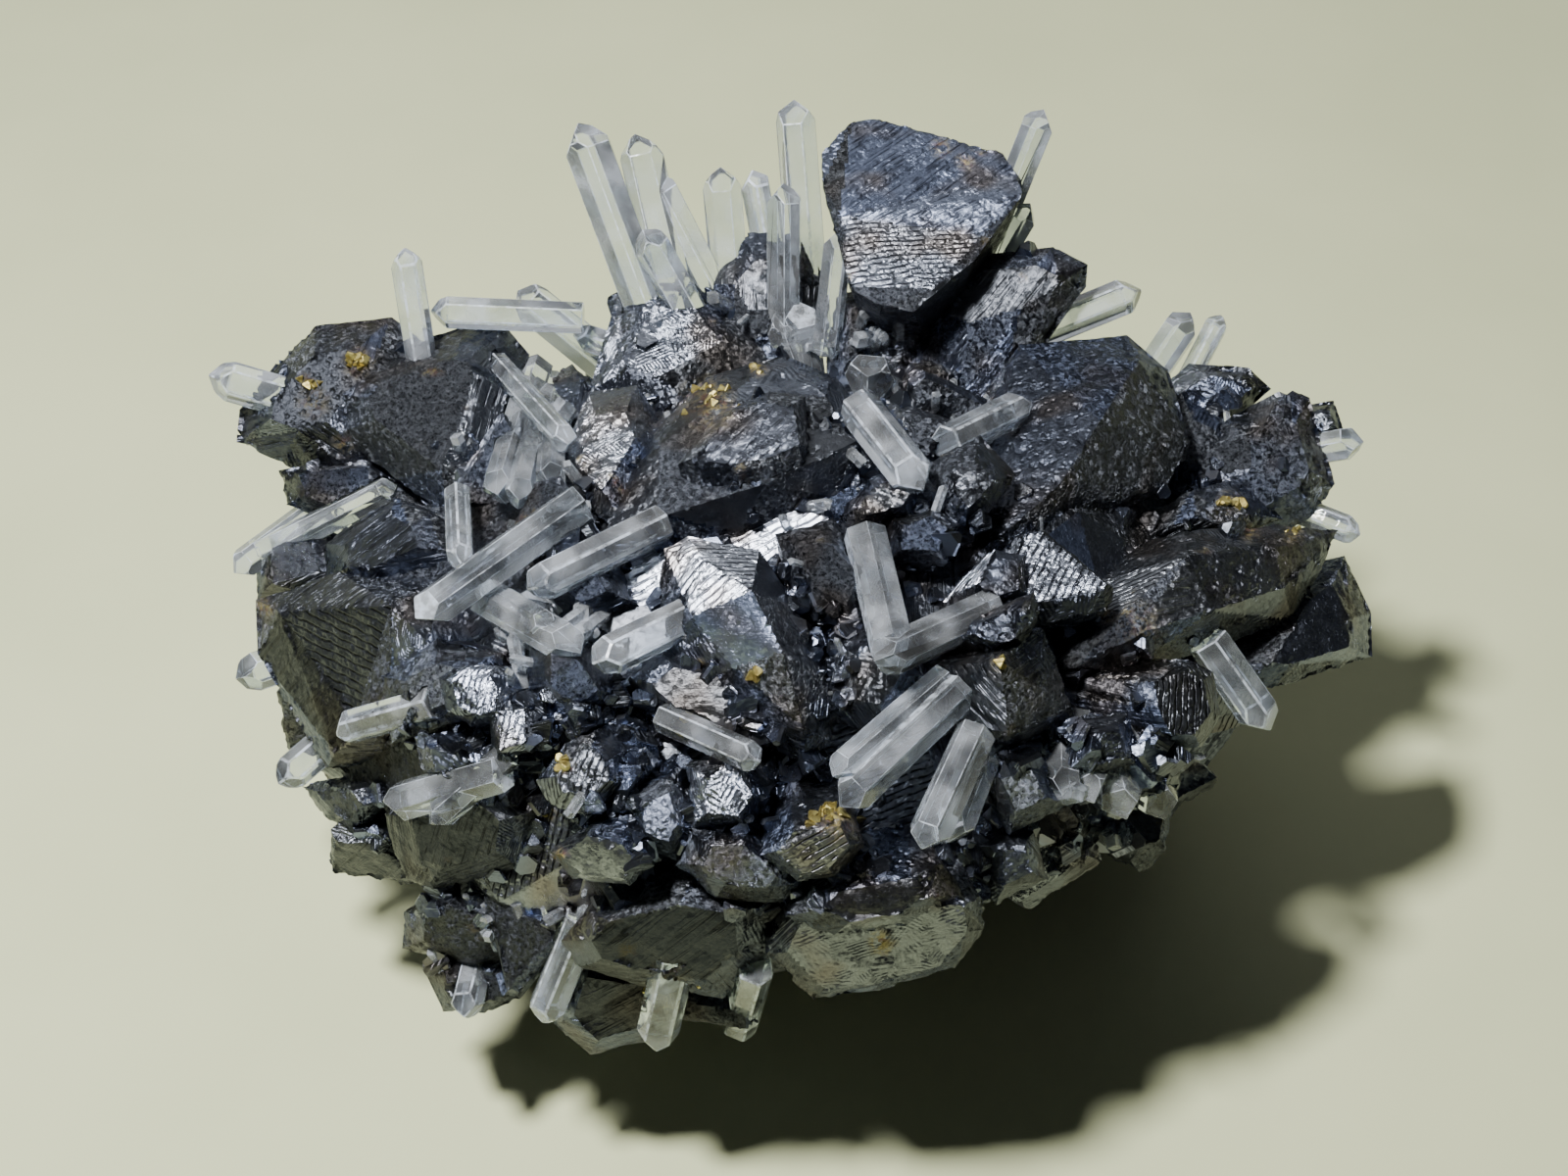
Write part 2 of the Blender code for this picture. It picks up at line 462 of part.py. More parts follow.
def block_object(block):
    """Build one sphalerite crystal from its rim, its crest and a narrower root."""
    cx, cy, (mean, per_x, per_y) = rim_plane(block)

    def place(x, y, height):
        near = mean + per_x * (x - cx) + per_y * (y - cy) + block.rise + height
        return on_sheet(x, y, near)

    points = [place(x, y, 0.0) for x, y in block.rim]
    if len(block.crest) == 4 and not isinstance(block.crest[0], tuple):
        share, height, lean_right, lean_up = block.crest
        for x, y in block.rim:
            dx = (x - cx) * share
            dy = (y - cy) * share
            lift = height - lean_right * dx * SHEET_UNIT + lean_up * dy * SHEET_UNIT
            points.append(place(cx + dx, cy + dy, lift))
    else:
        points += [place(x, y, height) for x, y, height in block.crest]
    inward = (LUMP_CENTRE - on_sheet(cx, cy, mean)).normalized()
    for x, y in block.rim:
        root = place(cx + (x - cx) * ROOT_SHARE, cy + (y - cy) * ROOT_SHARE, 0.0)
        points.append(root + inward * (block.depth + block.rise))
    return hull_object(block.name, points)


def crown_object():
    """Build the large free-standing crystal at the top."""
    corners = CROWN_UPPER_FACE + CROWN_LOWER_FACE + CROWN_BACK
    return hull_object("crown", [on_sheet(*corner) for corner in corners])


def cut_by_plane(bm, middle, normal):
    """Cut a closed bmesh by a plane, drop what lies outside it and close the cut."""
    geometry = bm.verts[:] + bm.edges[:] + bm.faces[:]
    cut = bmesh.ops.bisect_plane(bm, geom=geometry, plane_co=middle, plane_no=normal, clear_outer=True)
    edges = [e for e in cut["geom_cut"] if isinstance(e, bmesh.types.BMEdge)]
    if edges:
        bmesh.ops.holes_fill(bm, edges=edges)


def tetrahedral_object(name, middle, turn, size, rng):
    """Build one filler crystal: a tetrahedron with cut corners and bevelled edges."""
    bm = bmesh.new()
    bmesh.ops.create_cube(bm, size=size * BLANK_SIDE)
    for signs in ((1, 1, 1), (1, -1, -1), (-1, 1, -1), (-1, -1, 1)):
        normal = Vector(signs).normalized()
        cut_by_plane(bm, normal * size * rng.uniform(*FACE_REACH), normal)
        cut_by_plane(bm, -normal * size * rng.uniform(*CORNER_REACH), -normal)
    place = Matrix.Translation(middle) @ turn.to_matrix().to_4x4()
    bmesh.ops.transform(bm, matrix=place, verts=bm.verts)
    return mesh_object(name, bm)


def filler_objects():
    """Spread the filler crystals evenly over the lump, coarser on the hidden side."""
    rng = random.Random(SEED)
    made = []
    golden = math.pi * (3.0 - math.sqrt(5.0))
    for index in range(FILLER_COUNT):
        up = 1.0 - 2.0 * (index + 0.5) / FILLER_COUNT
        ring = math.sqrt(1.0 - up * up)
        way = Vector((math.cos(golden * index) * ring, math.sin(golden * index) * ring, up))
        surface = Vector((way.x * LUMP_RADII.x, way.y * LUMP_RADII.y, way.z * LUMP_RADII.z))
        surface *= bitten(surface)
        outward = Vector((way.x / LUMP_RADII.x, way.y / LUMP_RADII.y, way.z / LUMP_RADII.z)).normalized()
        facing = outward.dot(TOWARD)
        limb = LIMB[0] < facing < LIMB[1]
        shown = facing > 0.0 or limb
        size = rng.uniform(*(FILLER_SHOWN if shown else FILLER_BACK))
        offset = rng.uniform(*(SHOWN_OFFSET if shown else BACK_OFFSET))
        turn = Quaternion((rng.gauss(0, 1), rng.gauss(0, 1), rng.gauss(0, 1), rng.gauss(0, 1)))
        turn.normalize()
        middle = LUMP_CENTRE + surface + outward * offset
        if middle.z < LOWEST_MIDDLE:
            continue
        middle.z = max(middle.z, size * FILLER_REACH + FLOOR_GAP)
        x, y = to_sheet(LUMP_CENTRE + surface)
        if limb and y > LOWEST_ON_SHEET:
            continue
        if facing > 0.0 and any(inside_rim(x, y, block.rim) for block in BLOCKS):
            continue
        made.append(tetrahedral_object(f"filler_{index:03d}", middle, turn, size, rng))
    return made


def lump_object():
    """Build the low-poly heart of the mass, which the crystals cover."""
    bm = bmesh.new()
    bmesh.ops.create_icosphere(bm, subdivisions=2, radius=1.0)
    bmesh.ops.scale(bm, vec=LUMP_RADII, verts=bm.verts)
    for vert in bm.verts:
        vert.co *= bitten(vert.co)
    bmesh.ops.translate(bm, vec=LUMP_CENTRE, verts=bm.verts)
    return mesh_object("lump", bm)


def foot_object():
    """Build the broken matrix under the mass, flat below, narrower towards the floor."""
    points = [Vector((x * share, y * share, height)) for share, height in FOOT_STEPS for x, y in FOOT_PLAN]
    return hull_object("foot", points)


def prism_bmesh(tip, root, width, rng, grow=0.0):
    """Return a hexagonal prism with six unlike end faces, from its root to its tip."""
    axis = tip - root
    length = axis.length
    apothem = width * 0.5 * math.cos(math.radians(30.0))
    flatten = rng.uniform(*FLAT_SIDE_REACH)
    spin = rng.uniform(0.0, math.tau / 6.0)
    bm = bmesh.new()
    bmesh.ops.create_cube(bm, size=4.0 * length)
    for side in range(6):
        angle = side * math.tau / 6.0
        normal = Vector((math.cos(angle), math.sin(angle), 0.0))
        reach = apothem * (flatten if side % 3 == 0 else rng.uniform(*OTHER_SIDE_REACH)) + grow
        cut_by_plane(bm, normal * reach, normal)
    cut_by_plane(bm, Vector((0, 0, -grow)), Vector((0, 0, -1)))
    for side in range(6):
        angle = side * math.tau / 6.0
        outward = Vector((math.cos(angle), math.sin(angle), 0.0))
        slope = outward * math.sin(END_FACE_ANGLE) + Vector((0.0, 0.0, math.cos(END_FACE_ANGLE)))
        lift = rng.uniform(*(LARGE_END_LIFT if side % 2 else SMALL_END_LIFT))
        point = Vector((0, 0, length)) + slope * (lift * apothem + grow)
        cut_by_plane(bm, point, slope)
    turn = axis.to_track_quat("Z", "Y").to_matrix().to_4x4() @ Matrix.Rotation(spin, 4, "Z")
    bmesh.ops.transform(bm, matrix=Matrix.Translation(root) @ turn, verts=bm.verts)
    return bm


def prism_ends(prism):
    """Return the places of a prism's tip and of the end of its buried root."""
    tip = on_sheet(prism.tip[0], prism.tip[1], lump_near(*prism.tip[:2]) + prism.tip[2])
    foot = on_sheet(prism.foot[0], prism.foot[1], lump_near(*prism.foot[:2]) + prism.foot[2])
    root = foot + (foot - tip).normalized() * prism.root
    return tip, root, prism.width


def back_prism_ends(bearing, elevation, length, width, lean):
    """Return the ends of a prism that stands out of the hidden side of the lump."""
    round_way = math.radians(bearing)
    rise = math.radians(elevation)
    way = Vector((math.cos(rise) * math.cos(round_way), math.cos(rise) * math.sin(round_way), math.sin(rise)))
    scale = 1.0 / math.sqrt(sum((way[i] / LUMP_RADII[i]) ** 2 for i in range(3)))
    axis = way.copy()
    axis.rotate(Quaternion((0, 0, 1), math.radians(lean)))
    foot = LUMP_CENTRE + way * (scale + BACK_FOOT)
    return foot + axis * length, foot - axis * BACK_ROOT, width


def boolean(target, operands, operation):
    """Join or cut a target by all operands at once, and return it with its new mesh."""
    group = bpy.data.collections.new("operands")
    bpy.context.scene.collection.children.link(group)
    for obj in operands:
        obj.hide_render = True
        obj.display_type = "WIRE"
        group.objects.link(obj)
    modifier = target.modifiers.new("join", "BOOLEAN")
    modifier.operand_type = "COLLECTION"
    modifier.collection = group
    modifier.operation = operation
    modifier.solver = "EXACT"
    graph = bpy.context.evaluated_depsgraph_get()
    mesh = bpy.data.meshes.new_from_object(target.evaluated_get(graph))
    target.modifiers.clear()
    target.data = mesh
    mesh.name = target.name
    for obj in operands:
        bpy.data.objects.remove(obj, do_unlink=True)
    bpy.data.collections.remove(group)
    return target


def keep_largest(obj):
    """Drop every loose chip and tidy the cut faces of a joined solid."""
    bm = bmesh.new()
    bm.from_mesh(obj.data)
    bmesh.ops.remove_doubles(bm, verts=bm.verts, dist=SAME_POINT)
    bmesh.ops.dissolve_limit(bm, angle_limit=FLAT_EDGE, verts=bm.verts, edges=bm.edges)
    islands = []
    left = set(bm.faces)
    while left:
        seed = left.pop()
        island = [seed]
        queue = [seed]
        while queue:
            face = queue.pop()
            for edge in face.edges:
                for other in edge.link_faces:
                    if other in left:
                        left.remove(other)
                        island.append(other)
                        queue.append(other)
        islands.append(island)
    islands.sort(key=len, reverse=True)
    for island in islands[1:]:
        bmesh.ops.delete(bm, geom=island, context="FACES")
    bmesh.ops.delete(bm, geom=[edge for edge in bm.edges if edge.is_wire], context="EDGES")
    bm.to_mesh(obj.data)
    bm.free()


def thin_out(obj, triangles):
    """Collapse the shortest slivers of a joined solid until it has a number of triangles."""
    obj.data.calc_loop_triangles()
    modifier = obj.modifiers.new("thin out", "DECIMATE")
    modifier.ratio = triangles / len(obj.data.loop_triangles)
    modifier.use_collapse_triangulate = True
    graph = bpy.context.evaluated_depsgraph_get()
    mesh = bpy.data.meshes.new_from_object(obj.evaluated_get(graph))
    obj.modifiers.clear()
    obj.data = mesh
    mesh.name = obj.name


def quartz_objects(material):
    """Build the quartz nodes, and for each prism a slightly larger cutter for its socket."""
    rng = random.Random(SEED + 1)
    nodes = []
    cutters = []
    ends = {name: [prism_ends(prism) for prism in prisms] for name, prisms in QUARTZ.items()}
    for name, values in BACK_QUARTZ.items():
        ends[name] = [back_prism_ends(*values)]
    for name, prisms in ends.items():
        parts = []
        for index, (tip, root, width) in enumerate(prisms):
            state = rng.getstate()
            parts.append(mesh_object(f"{name}_{index}", prism_bmesh(tip, root, width, rng)))
            rng.setstate(state)
            grown = prism_bmesh(tip, root, width, rng, SOCKET_CLEARANCE)
            cutters.append(mesh_object(f"{name}_{index}_socket", grown))
        node = parts[0]
        node.name = name
        if len(parts) > 1:
            boolean(node, parts[1:], "UNION")
        node.data.name = name
        node.data.materials.clear()
        node.data.materials.append(material)
        nodes.append(node)
    return nodes, cutters


def centre_on_origin(objects):
    """Move every mesh so that the specimen stands on z = 0 with its box centred over the origin."""
    corners = [v.co for obj in objects for v in obj.data.vertices]
    shift = Vector((
        -0.5 * (min(c.x for c in corners) + max(c.x for c in corners)),
        -0.5 * (min(c.y for c in corners) + max(c.y for c in corners)),
        -min(c.z for c in corners),
    ))
    for obj in objects:
        obj.data.transform(Matrix.Translation(shift))


def main():
    """Build the specimen."""
    clear_scene()
    sphalerite = make_material("sphalerite", (0.035, 0.04, 0.05), 0.3, metallic=0.85)
    quartz = make_material("clear_quartz", (0.85, 0.9, 0.95), 0.08, transmission=0.9, ior=1.544)
    crystals = [crown_object(), foot_object()]
    crystals += [block_object(block) for block in BLOCKS]
    crystals += filler_objects()
    mass = lump_object()
    mass.name = "sphalerite_mass"
    boolean(mass, crystals, "UNION")
    nodes, cutters = quartz_objects(quartz)
    boolean(mass, cutters, "DIFFERENCE")
    keep_largest(mass)
    thin_out(mass, MASS_TRIANGLES)
    mass.data.materials.clear()
    mass.data.materials.append(sphalerite)
    centre_on_origin([mass] + nodes)


main()
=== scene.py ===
"""Sphalerite and quartz specimen: the finish of every crystal face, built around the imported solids.

Lengths are in metres unless a name ends in _mm. The sheet is the front view of the specimen: its x runs
right and its y runs down, 10 sheet units to the millimetre at the middle of the mass.
"""
import logging
import math
from dataclasses import dataclass, field
from enum import Enum

import bmesh
import bpy
import numpy as np
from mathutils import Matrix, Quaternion, Vector
from mathutils.bvhtree import BVHTree


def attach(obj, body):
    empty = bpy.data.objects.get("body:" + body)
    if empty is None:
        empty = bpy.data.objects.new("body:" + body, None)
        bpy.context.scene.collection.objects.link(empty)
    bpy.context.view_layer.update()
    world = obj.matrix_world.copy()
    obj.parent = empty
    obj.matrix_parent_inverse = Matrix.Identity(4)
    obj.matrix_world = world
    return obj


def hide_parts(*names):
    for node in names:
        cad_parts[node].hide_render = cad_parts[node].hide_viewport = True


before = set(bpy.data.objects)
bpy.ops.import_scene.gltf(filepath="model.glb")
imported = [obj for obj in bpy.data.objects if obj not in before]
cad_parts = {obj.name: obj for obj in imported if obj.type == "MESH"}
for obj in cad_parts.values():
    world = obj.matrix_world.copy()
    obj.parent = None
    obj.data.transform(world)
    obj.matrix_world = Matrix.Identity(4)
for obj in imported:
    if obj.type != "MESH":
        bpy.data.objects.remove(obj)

LOG = logging.getLogger("specimen")
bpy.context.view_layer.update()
BODY = "root"
MM = 0.001
MASS_NODE = "sphalerite_mass"
KEY_WAY = Vector((-0.31, -0.17, 0.93)).normalized()


def linear(hex_colour: str, alpha: float = 1.0) -> tuple[float, float, float, float]:
    """Turn an sRGB hex colour into linear values.

    Args:
        hex_colour: six hex digits, with or without a leading hash.
        alpha: the fourth value.

    Returns:
        Red, green, blue and alpha.
    """
    digits = hex_colour.lstrip("#")
    values = [int(digits[i:i + 2], 16) / 255.0 for i in (0, 2, 4)]
    lin = [v / 12.92 if v <= 0.04045 else ((v + 0.055) / 1.055) ** 2.4 for v in values]
    return (lin[0], lin[1], lin[2], alpha)


def add_node(tree: bpy.types.NodeTree, kind: str, settings: dict | None = None,
             inputs: dict | None = None) -> bpy.types.Node:
    """Add one shader node.

    Args:
        tree: the material's node tree.
        kind: the node's type name.
        settings: properties to set on the node.
        inputs: socket name or number to a value, or to another node's output socket.

    Returns:
        The new node.
    """
    node = tree.nodes.new(kind)
    for name, value in (settings or {}).items():
        setattr(node, name, value)
    for name, value in (inputs or {}).items():
        if isinstance(value, bpy.types.NodeSocket):
            tree.links.new(value, node.inputs[name])
        else:
            node.inputs[name].default_value = value
    return node


def ramp(tree: bpy.types.NodeTree, factor: bpy.types.NodeSocket, stops: list) -> bpy.types.NodeSocket:
    """Add a colour ramp.

    Args:
        tree: the material's node tree.
        factor: what drives the ramp.
        stops: (position, linear colour or level of grey) pairs in rising order.

    Returns:
        The output socket.
    """
    node = add_node(tree, "ShaderNodeValToRGB", inputs={"Fac": factor})
    elements = node.color_ramp.elements
    while len(elements) < len(stops):
        elements.new(0.5)
    for element, (position, colour) in zip(elements, stops):
        element.position = position
        element.color = colour if isinstance(colour, tuple) else (colour, colour, colour, 1.0)
    return node.outputs[0]


def maths(tree: bpy.types.NodeTree, operation: str, a: object, b: object = 0.0,
          clamp: bool = False) -> bpy.types.NodeSocket:
    """Add a Math node and return its output.

    Args:
        tree: the material's node tree.
        operation: the node's operation.
        a: first value or socket.
        b: second value or socket.
        clamp: whether the result is held between 0 and 1.

    Returns:
        The output socket.
    """
    settings = {"operation": operation, "use_clamp": clamp}
    return add_node(tree, "ShaderNodeMath", settings, {0: a, 1: b}).outputs[0]


def add_share(tree: bpy.types.NodeTree, total: object, value: object, share: object,
              clamp: bool = False) -> bpy.types.NodeSocket:
    """Add a share of one value to another.

    Args:
        tree: the material's node tree.
        total: what is added to.
        value: what is added.
        share: how much of it.
        clamp: whether the result is held between 0 and 1.

    Returns:
        The output socket.
    """
    return maths(tree, "ADD", total, maths(tree, "MULTIPLY", value, share), clamp=clamp)


def vector_maths(tree: bpy.types.NodeTree, operation: str, a: object, b: object = (0.0, 0.0, 0.0),
                 output: str = "Vector") -> bpy.types.NodeSocket:
    """Add a Vector Math node and return its output.

    Args:
        tree: the material's node tree.
        operation: the node's operation.
        a: first vector or socket.
        b: second vector or socket.
        output: the name of the output: Vector or Value.

    Returns:
        The output socket.
    """
    return add_node(tree, "ShaderNodeVectorMath", {"operation": operation}, {0: a, 1: b}).outputs[output]


def mix(tree: bpy.types.NodeTree, factor: object, first: object, second: object,
        blend: str = "MIX") -> bpy.types.NodeSocket:
    """Add a colour Mix node and return its output.

    Args:
        tree: the material's node tree.
        factor: how much the second colour counts, from 0 to 1.
        first: first colour or socket.
        second: second colour or socket.
        blend: how they blend.

    Returns:
        The output socket.
    """
    settings = {"data_type": "RGBA", "blend_type": blend}
    return add_node(tree, "ShaderNodeMix", settings, {0: factor, 6: first, 7: second}).outputs[2]


def noise(tree: bpy.types.NodeTree, vector: bpy.types.NodeSocket, scale: float, detail: float,
          rough: float = 0.5, distortion: float = 0.0) -> bpy.types.NodeSocket:
    """Add a noise pattern.

    Args:
        tree: the material's node tree.
        vector: its coordinates.
        scale: how many cells there are to one unit of them.
        detail: how many finer layers it has.
        rough: how strong those layers are.
        distortion: how much it is twisted.

    Returns:
        Its value.
    """
    return add_node(tree, "ShaderNodeTexNoise", inputs={
        "Vector": vector, "Scale": scale, "Detail": detail, "Roughness": rough,
        "Distortion": distortion}).outputs[0]


def stretched(tree: bpy.types.NodeTree, vector: bpy.types.NodeSocket,
              scale: tuple) -> bpy.types.NodeSocket:
    """Scale some coordinates.

    Args:
        tree: the material's node tree.
        vector: the coordinates.
        scale: one factor for each axis.

    Returns:
        The output socket.
    """
    return add_node(tree, "ShaderNodeMapping", inputs={"Vector": vector, "Scale": scale}).outputs[0]


def new_material(name: str) -> tuple[bpy.types.Material, bpy.types.NodeTree, bpy.types.Node]:
    """Make a node material.

    Args:
        name: the material's name.

    Returns:
        The material, its node tree and its Principled shader.
    """
    material = bpy.data.materials.new(name)
    material.use_nodes = True
    tree = material.node_tree
    return material, tree, tree.nodes["Principled BSDF"]


def tilted_cells(tree: bpy.types.NodeTree, place: bpy.types.NodeSocket, size_mm: float, tilt: float,
                 distance: str, pitch_mm: float = 0.0) -> bpy.types.NodeSocket:
    """Add a relief of small cells, each flat, tilted its own way and, if asked for, ruled its own way.

    Args:
        tree: the material's node tree.
        place: coordinates in millimetres.
        size_mm: how wide a cell is.
        tilt: the steepest slope of a cell.
        distance: how cells meet: EUCLIDEAN, MANHATTAN or CHEBYCHEV.
        pitch_mm: from one ruled line of a cell to the next, or 0 for none.

    Returns:
        The height in millimetres.
    """
    pattern = add_node(tree, "ShaderNodeTexVoronoi", {"feature": "F1", "distance": distance}, {
        "Vector": place, "Scale": 1.0 / size_mm, "Randomness": 1.0})
    away = vector_maths(tree, "SUBTRACT", place, pattern.outputs["Position"])
    lean = vector_maths(tree, "SUBTRACT", pattern.outputs["Color"], (0.5, 0.5, 0.5))
    height = maths(tree, "MULTIPLY", vector_maths(tree, "DOT_PRODUCT", away, lean, "Value"), tilt)
    if not pitch_mm:
        return height
    way = vector_maths(tree, "NORMALIZE", lean)
    across = vector_maths(tree, "DOT_PRODUCT", away, way, "Value")
    return add_share(tree, height, maths(tree, "PINGPONG", across, pitch_mm / 2.0), 0.36)


class Relief(Enum):
    """What a sphalerite face is covered with, most of all: each has its shares in RELIEF_SHARES."""
    MIRROR = 0
    STRIATED = 1
    PITTED = 2
    MOSAIC = 3
    GRANULAR = 4
    RIBBED = 5


# For each relief, in the order of the enumeration: how strong its lines (2 for ribs), pits, tilted cells
# and grain are
RELIEF_SHARES = (
    (0.10, 0.12, 0.05, 0.14),
    (1.00, 0.10, 0.06, 0.20),
    (0.12, 1.00, 0.08, 0.28),
    (0.20, 0.10, 1.00, 0.20),
    (0.10, 0.20, 0.15, 1.00),
    (2.00, 0.05, 0.04, 0.12),
)


@dataclass(frozen=True)
class Sheet:
    """The front view of the specimen and the eye that looks at it."""
    unit_mm: float = 0.1
    aim_xy: tuple = (800.0, 600.0)
    aim: Vector = Vector((-0.000239, 0.001817, 0.037223))
    distance: float = 0.300
    elevation: float = math.radians(45.0)
    picture_width: int = 1600
    sensor_mm: float = 36.0

    @property
    def up(self) -> Vector:
        """The sheet's upward direction."""
        return Vector((0.0, math.sin(self.elevation), math.cos(self.elevation)))

    @property
    def toward(self) -> Vector:
        """The direction from the specimen to the eye."""
        return Vector((0.0, -math.cos(self.elevation), math.sin(self.elevation)))

    def locate(self, places: np.ndarray) -> np.ndarray:
        """Find where the sheet shows some places.

        Args:
            places: the places, in metres.

        Returns:
            Sheet x and y of each place.
        """
        offset = places - np.array(self.aim)
        near = offset @ np.array(self.toward)
        spread = self.unit_mm * MM * (self.distance - near) / self.distance
        x = self.aim_xy[0] + offset[:, 0] / spread
        y = self.aim_xy[1] - (offset @ np.array(self.up)) / spread
        return np.stack((x, y), axis=1)

    def add_camera(self) -> None:
        """Put the camera where the eye is."""
        data = bpy.data.cameras.new("camera")
        data.sensor_width = self.sensor_mm
        focal_units = self.distance / (self.unit_mm * MM)
        data.lens = focal_units * self.sensor_mm / self.picture_width
        data.clip_start = 0.01
        camera = bpy.data.objects.new("camera", data)
        camera.location = self.aim + self.toward * self.distance
        camera.rotation_euler = (-self.toward).to_track_quat("-Z", "Y").to_euler()
        bpy.context.scene.collection.objects.link(camera)
        bpy.context.scene.camera = camera


SHEET = Sheet()


def hash01(*grid: np.ndarray, seed: int = 0) -> np.ndarray:
    """Return a repeatable random number from 0 to 1 for each integer cell.

    Args:
        grid: integer coordinates, one array for each axis.
        seed: changes the draw.

    Returns:
        One value for each cell.
    """
    state = np.full(grid[0].shape, (seed * 0x9E3779B1 + 0x85EBCA6B) & 0xFFFFFFFF, dtype=np.uint64)
    for axis in grid:
        state ^= axis.astype(np.int64).astype(np.uint64) & 0xFFFFFFFF
        state = (state * 0xC2B2AE35 + 0x27D4EB2F) & 0xFFFFFFFF
        state ^= state >> 15
        state = (state * 0x85EBCA6B) & 0xFFFFFFFF
        state ^= state >> 13
    return (state & 0xFFFFFF).astype(np.float64) / float(0xFFFFFF)


def value_noise(places: np.ndarray, seed: int = 0) -> np.ndarray:
    """Return smooth noise from -1 to 1.

    Args:
        places: points in noise cells, of two or three coordinates.
        seed: changes the draw.

    Returns:
        One value for each point.
    """
    base = np.floor(places).astype(np.int64)
    part = places - base
    ease = part * part * (3.0 - 2.0 * part)
    count = places.shape[1]
    total = np.zeros(len(places))
    for corner in range(2 ** count):
        bits = [(corner >> axis) & 1 for axis in range(count)]
        weight = np.ones(len(places))
        grid = []
        for axis, bit in enumerate(bits):
            weight *= ease[:, axis] if bit else 1.0 - ease[:, axis]
            grid.append(base[:, axis] + bit)
        total += weight * hash01(*grid, seed=seed)
    return total * 2.0 - 1.0


def cells(places: np.ndarray, seed: int = 0) -> tuple[np.ndarray, np.ndarray, np.ndarray]:
    """Return a plane's cell pattern.

    Args:
        places: two coordinates in cells.
        seed: changes the draw.

    Returns:
        Distance to the nearest seed point, the nearest cell's random number and the offset from its seed
        point.
    """
    base = np.floor(places).astype(np.int64)
    nearest = np.full(len(places), 9.0)
    value = np.zeros(len(places))
    offset = np.zeros((len(places), 2))
    for dx in (-1, 0, 1):
        for dy in (-1, 0, 1):
            cx = base[:, 0] + dx
            cy = base[:, 1] + dy
            px = cx + hash01(cx, cy, seed=seed + 1)
            py = cy + hash01(cx, cy, seed=seed + 2)
            away = places - np.stack((px, py), axis=1)
            distance = np.hypot(away[:, 0], away[:, 1])
            closer = distance < nearest
            nearest = np.where(closer, distance, nearest)
            value = np.where(closer, hash01(cx, cy, seed=seed + 3), value)
            offset = np.where(closer[:, None], away, offset)
    return nearest, value, offset


@dataclass(frozen=True)
class FaceZone:
    """A face of the specimen that has its own character, found by where the sheet shows it.

    The middle and reach are in sheet units and the run of its lines in degrees. Blue, gloss and flash are
    shares of 1: flash is how far the face leans towards the light. Shade scales its colour: partly
    the face's own tone, partly painted light, raised to paint a highlight on faces that flash and
    lowered to paint shade on faces kept dark against the pale floor they mirror. Coarse scales its pattern.
    """
    x: float
    y: float
    reach: float
    relief: Relief
    lines: float = 0.0
    blue: float = 0.0
    gloss: float = 0.5
    shade: float = 1.0
    coarse: float = 1.0
    flash: float = 0.0
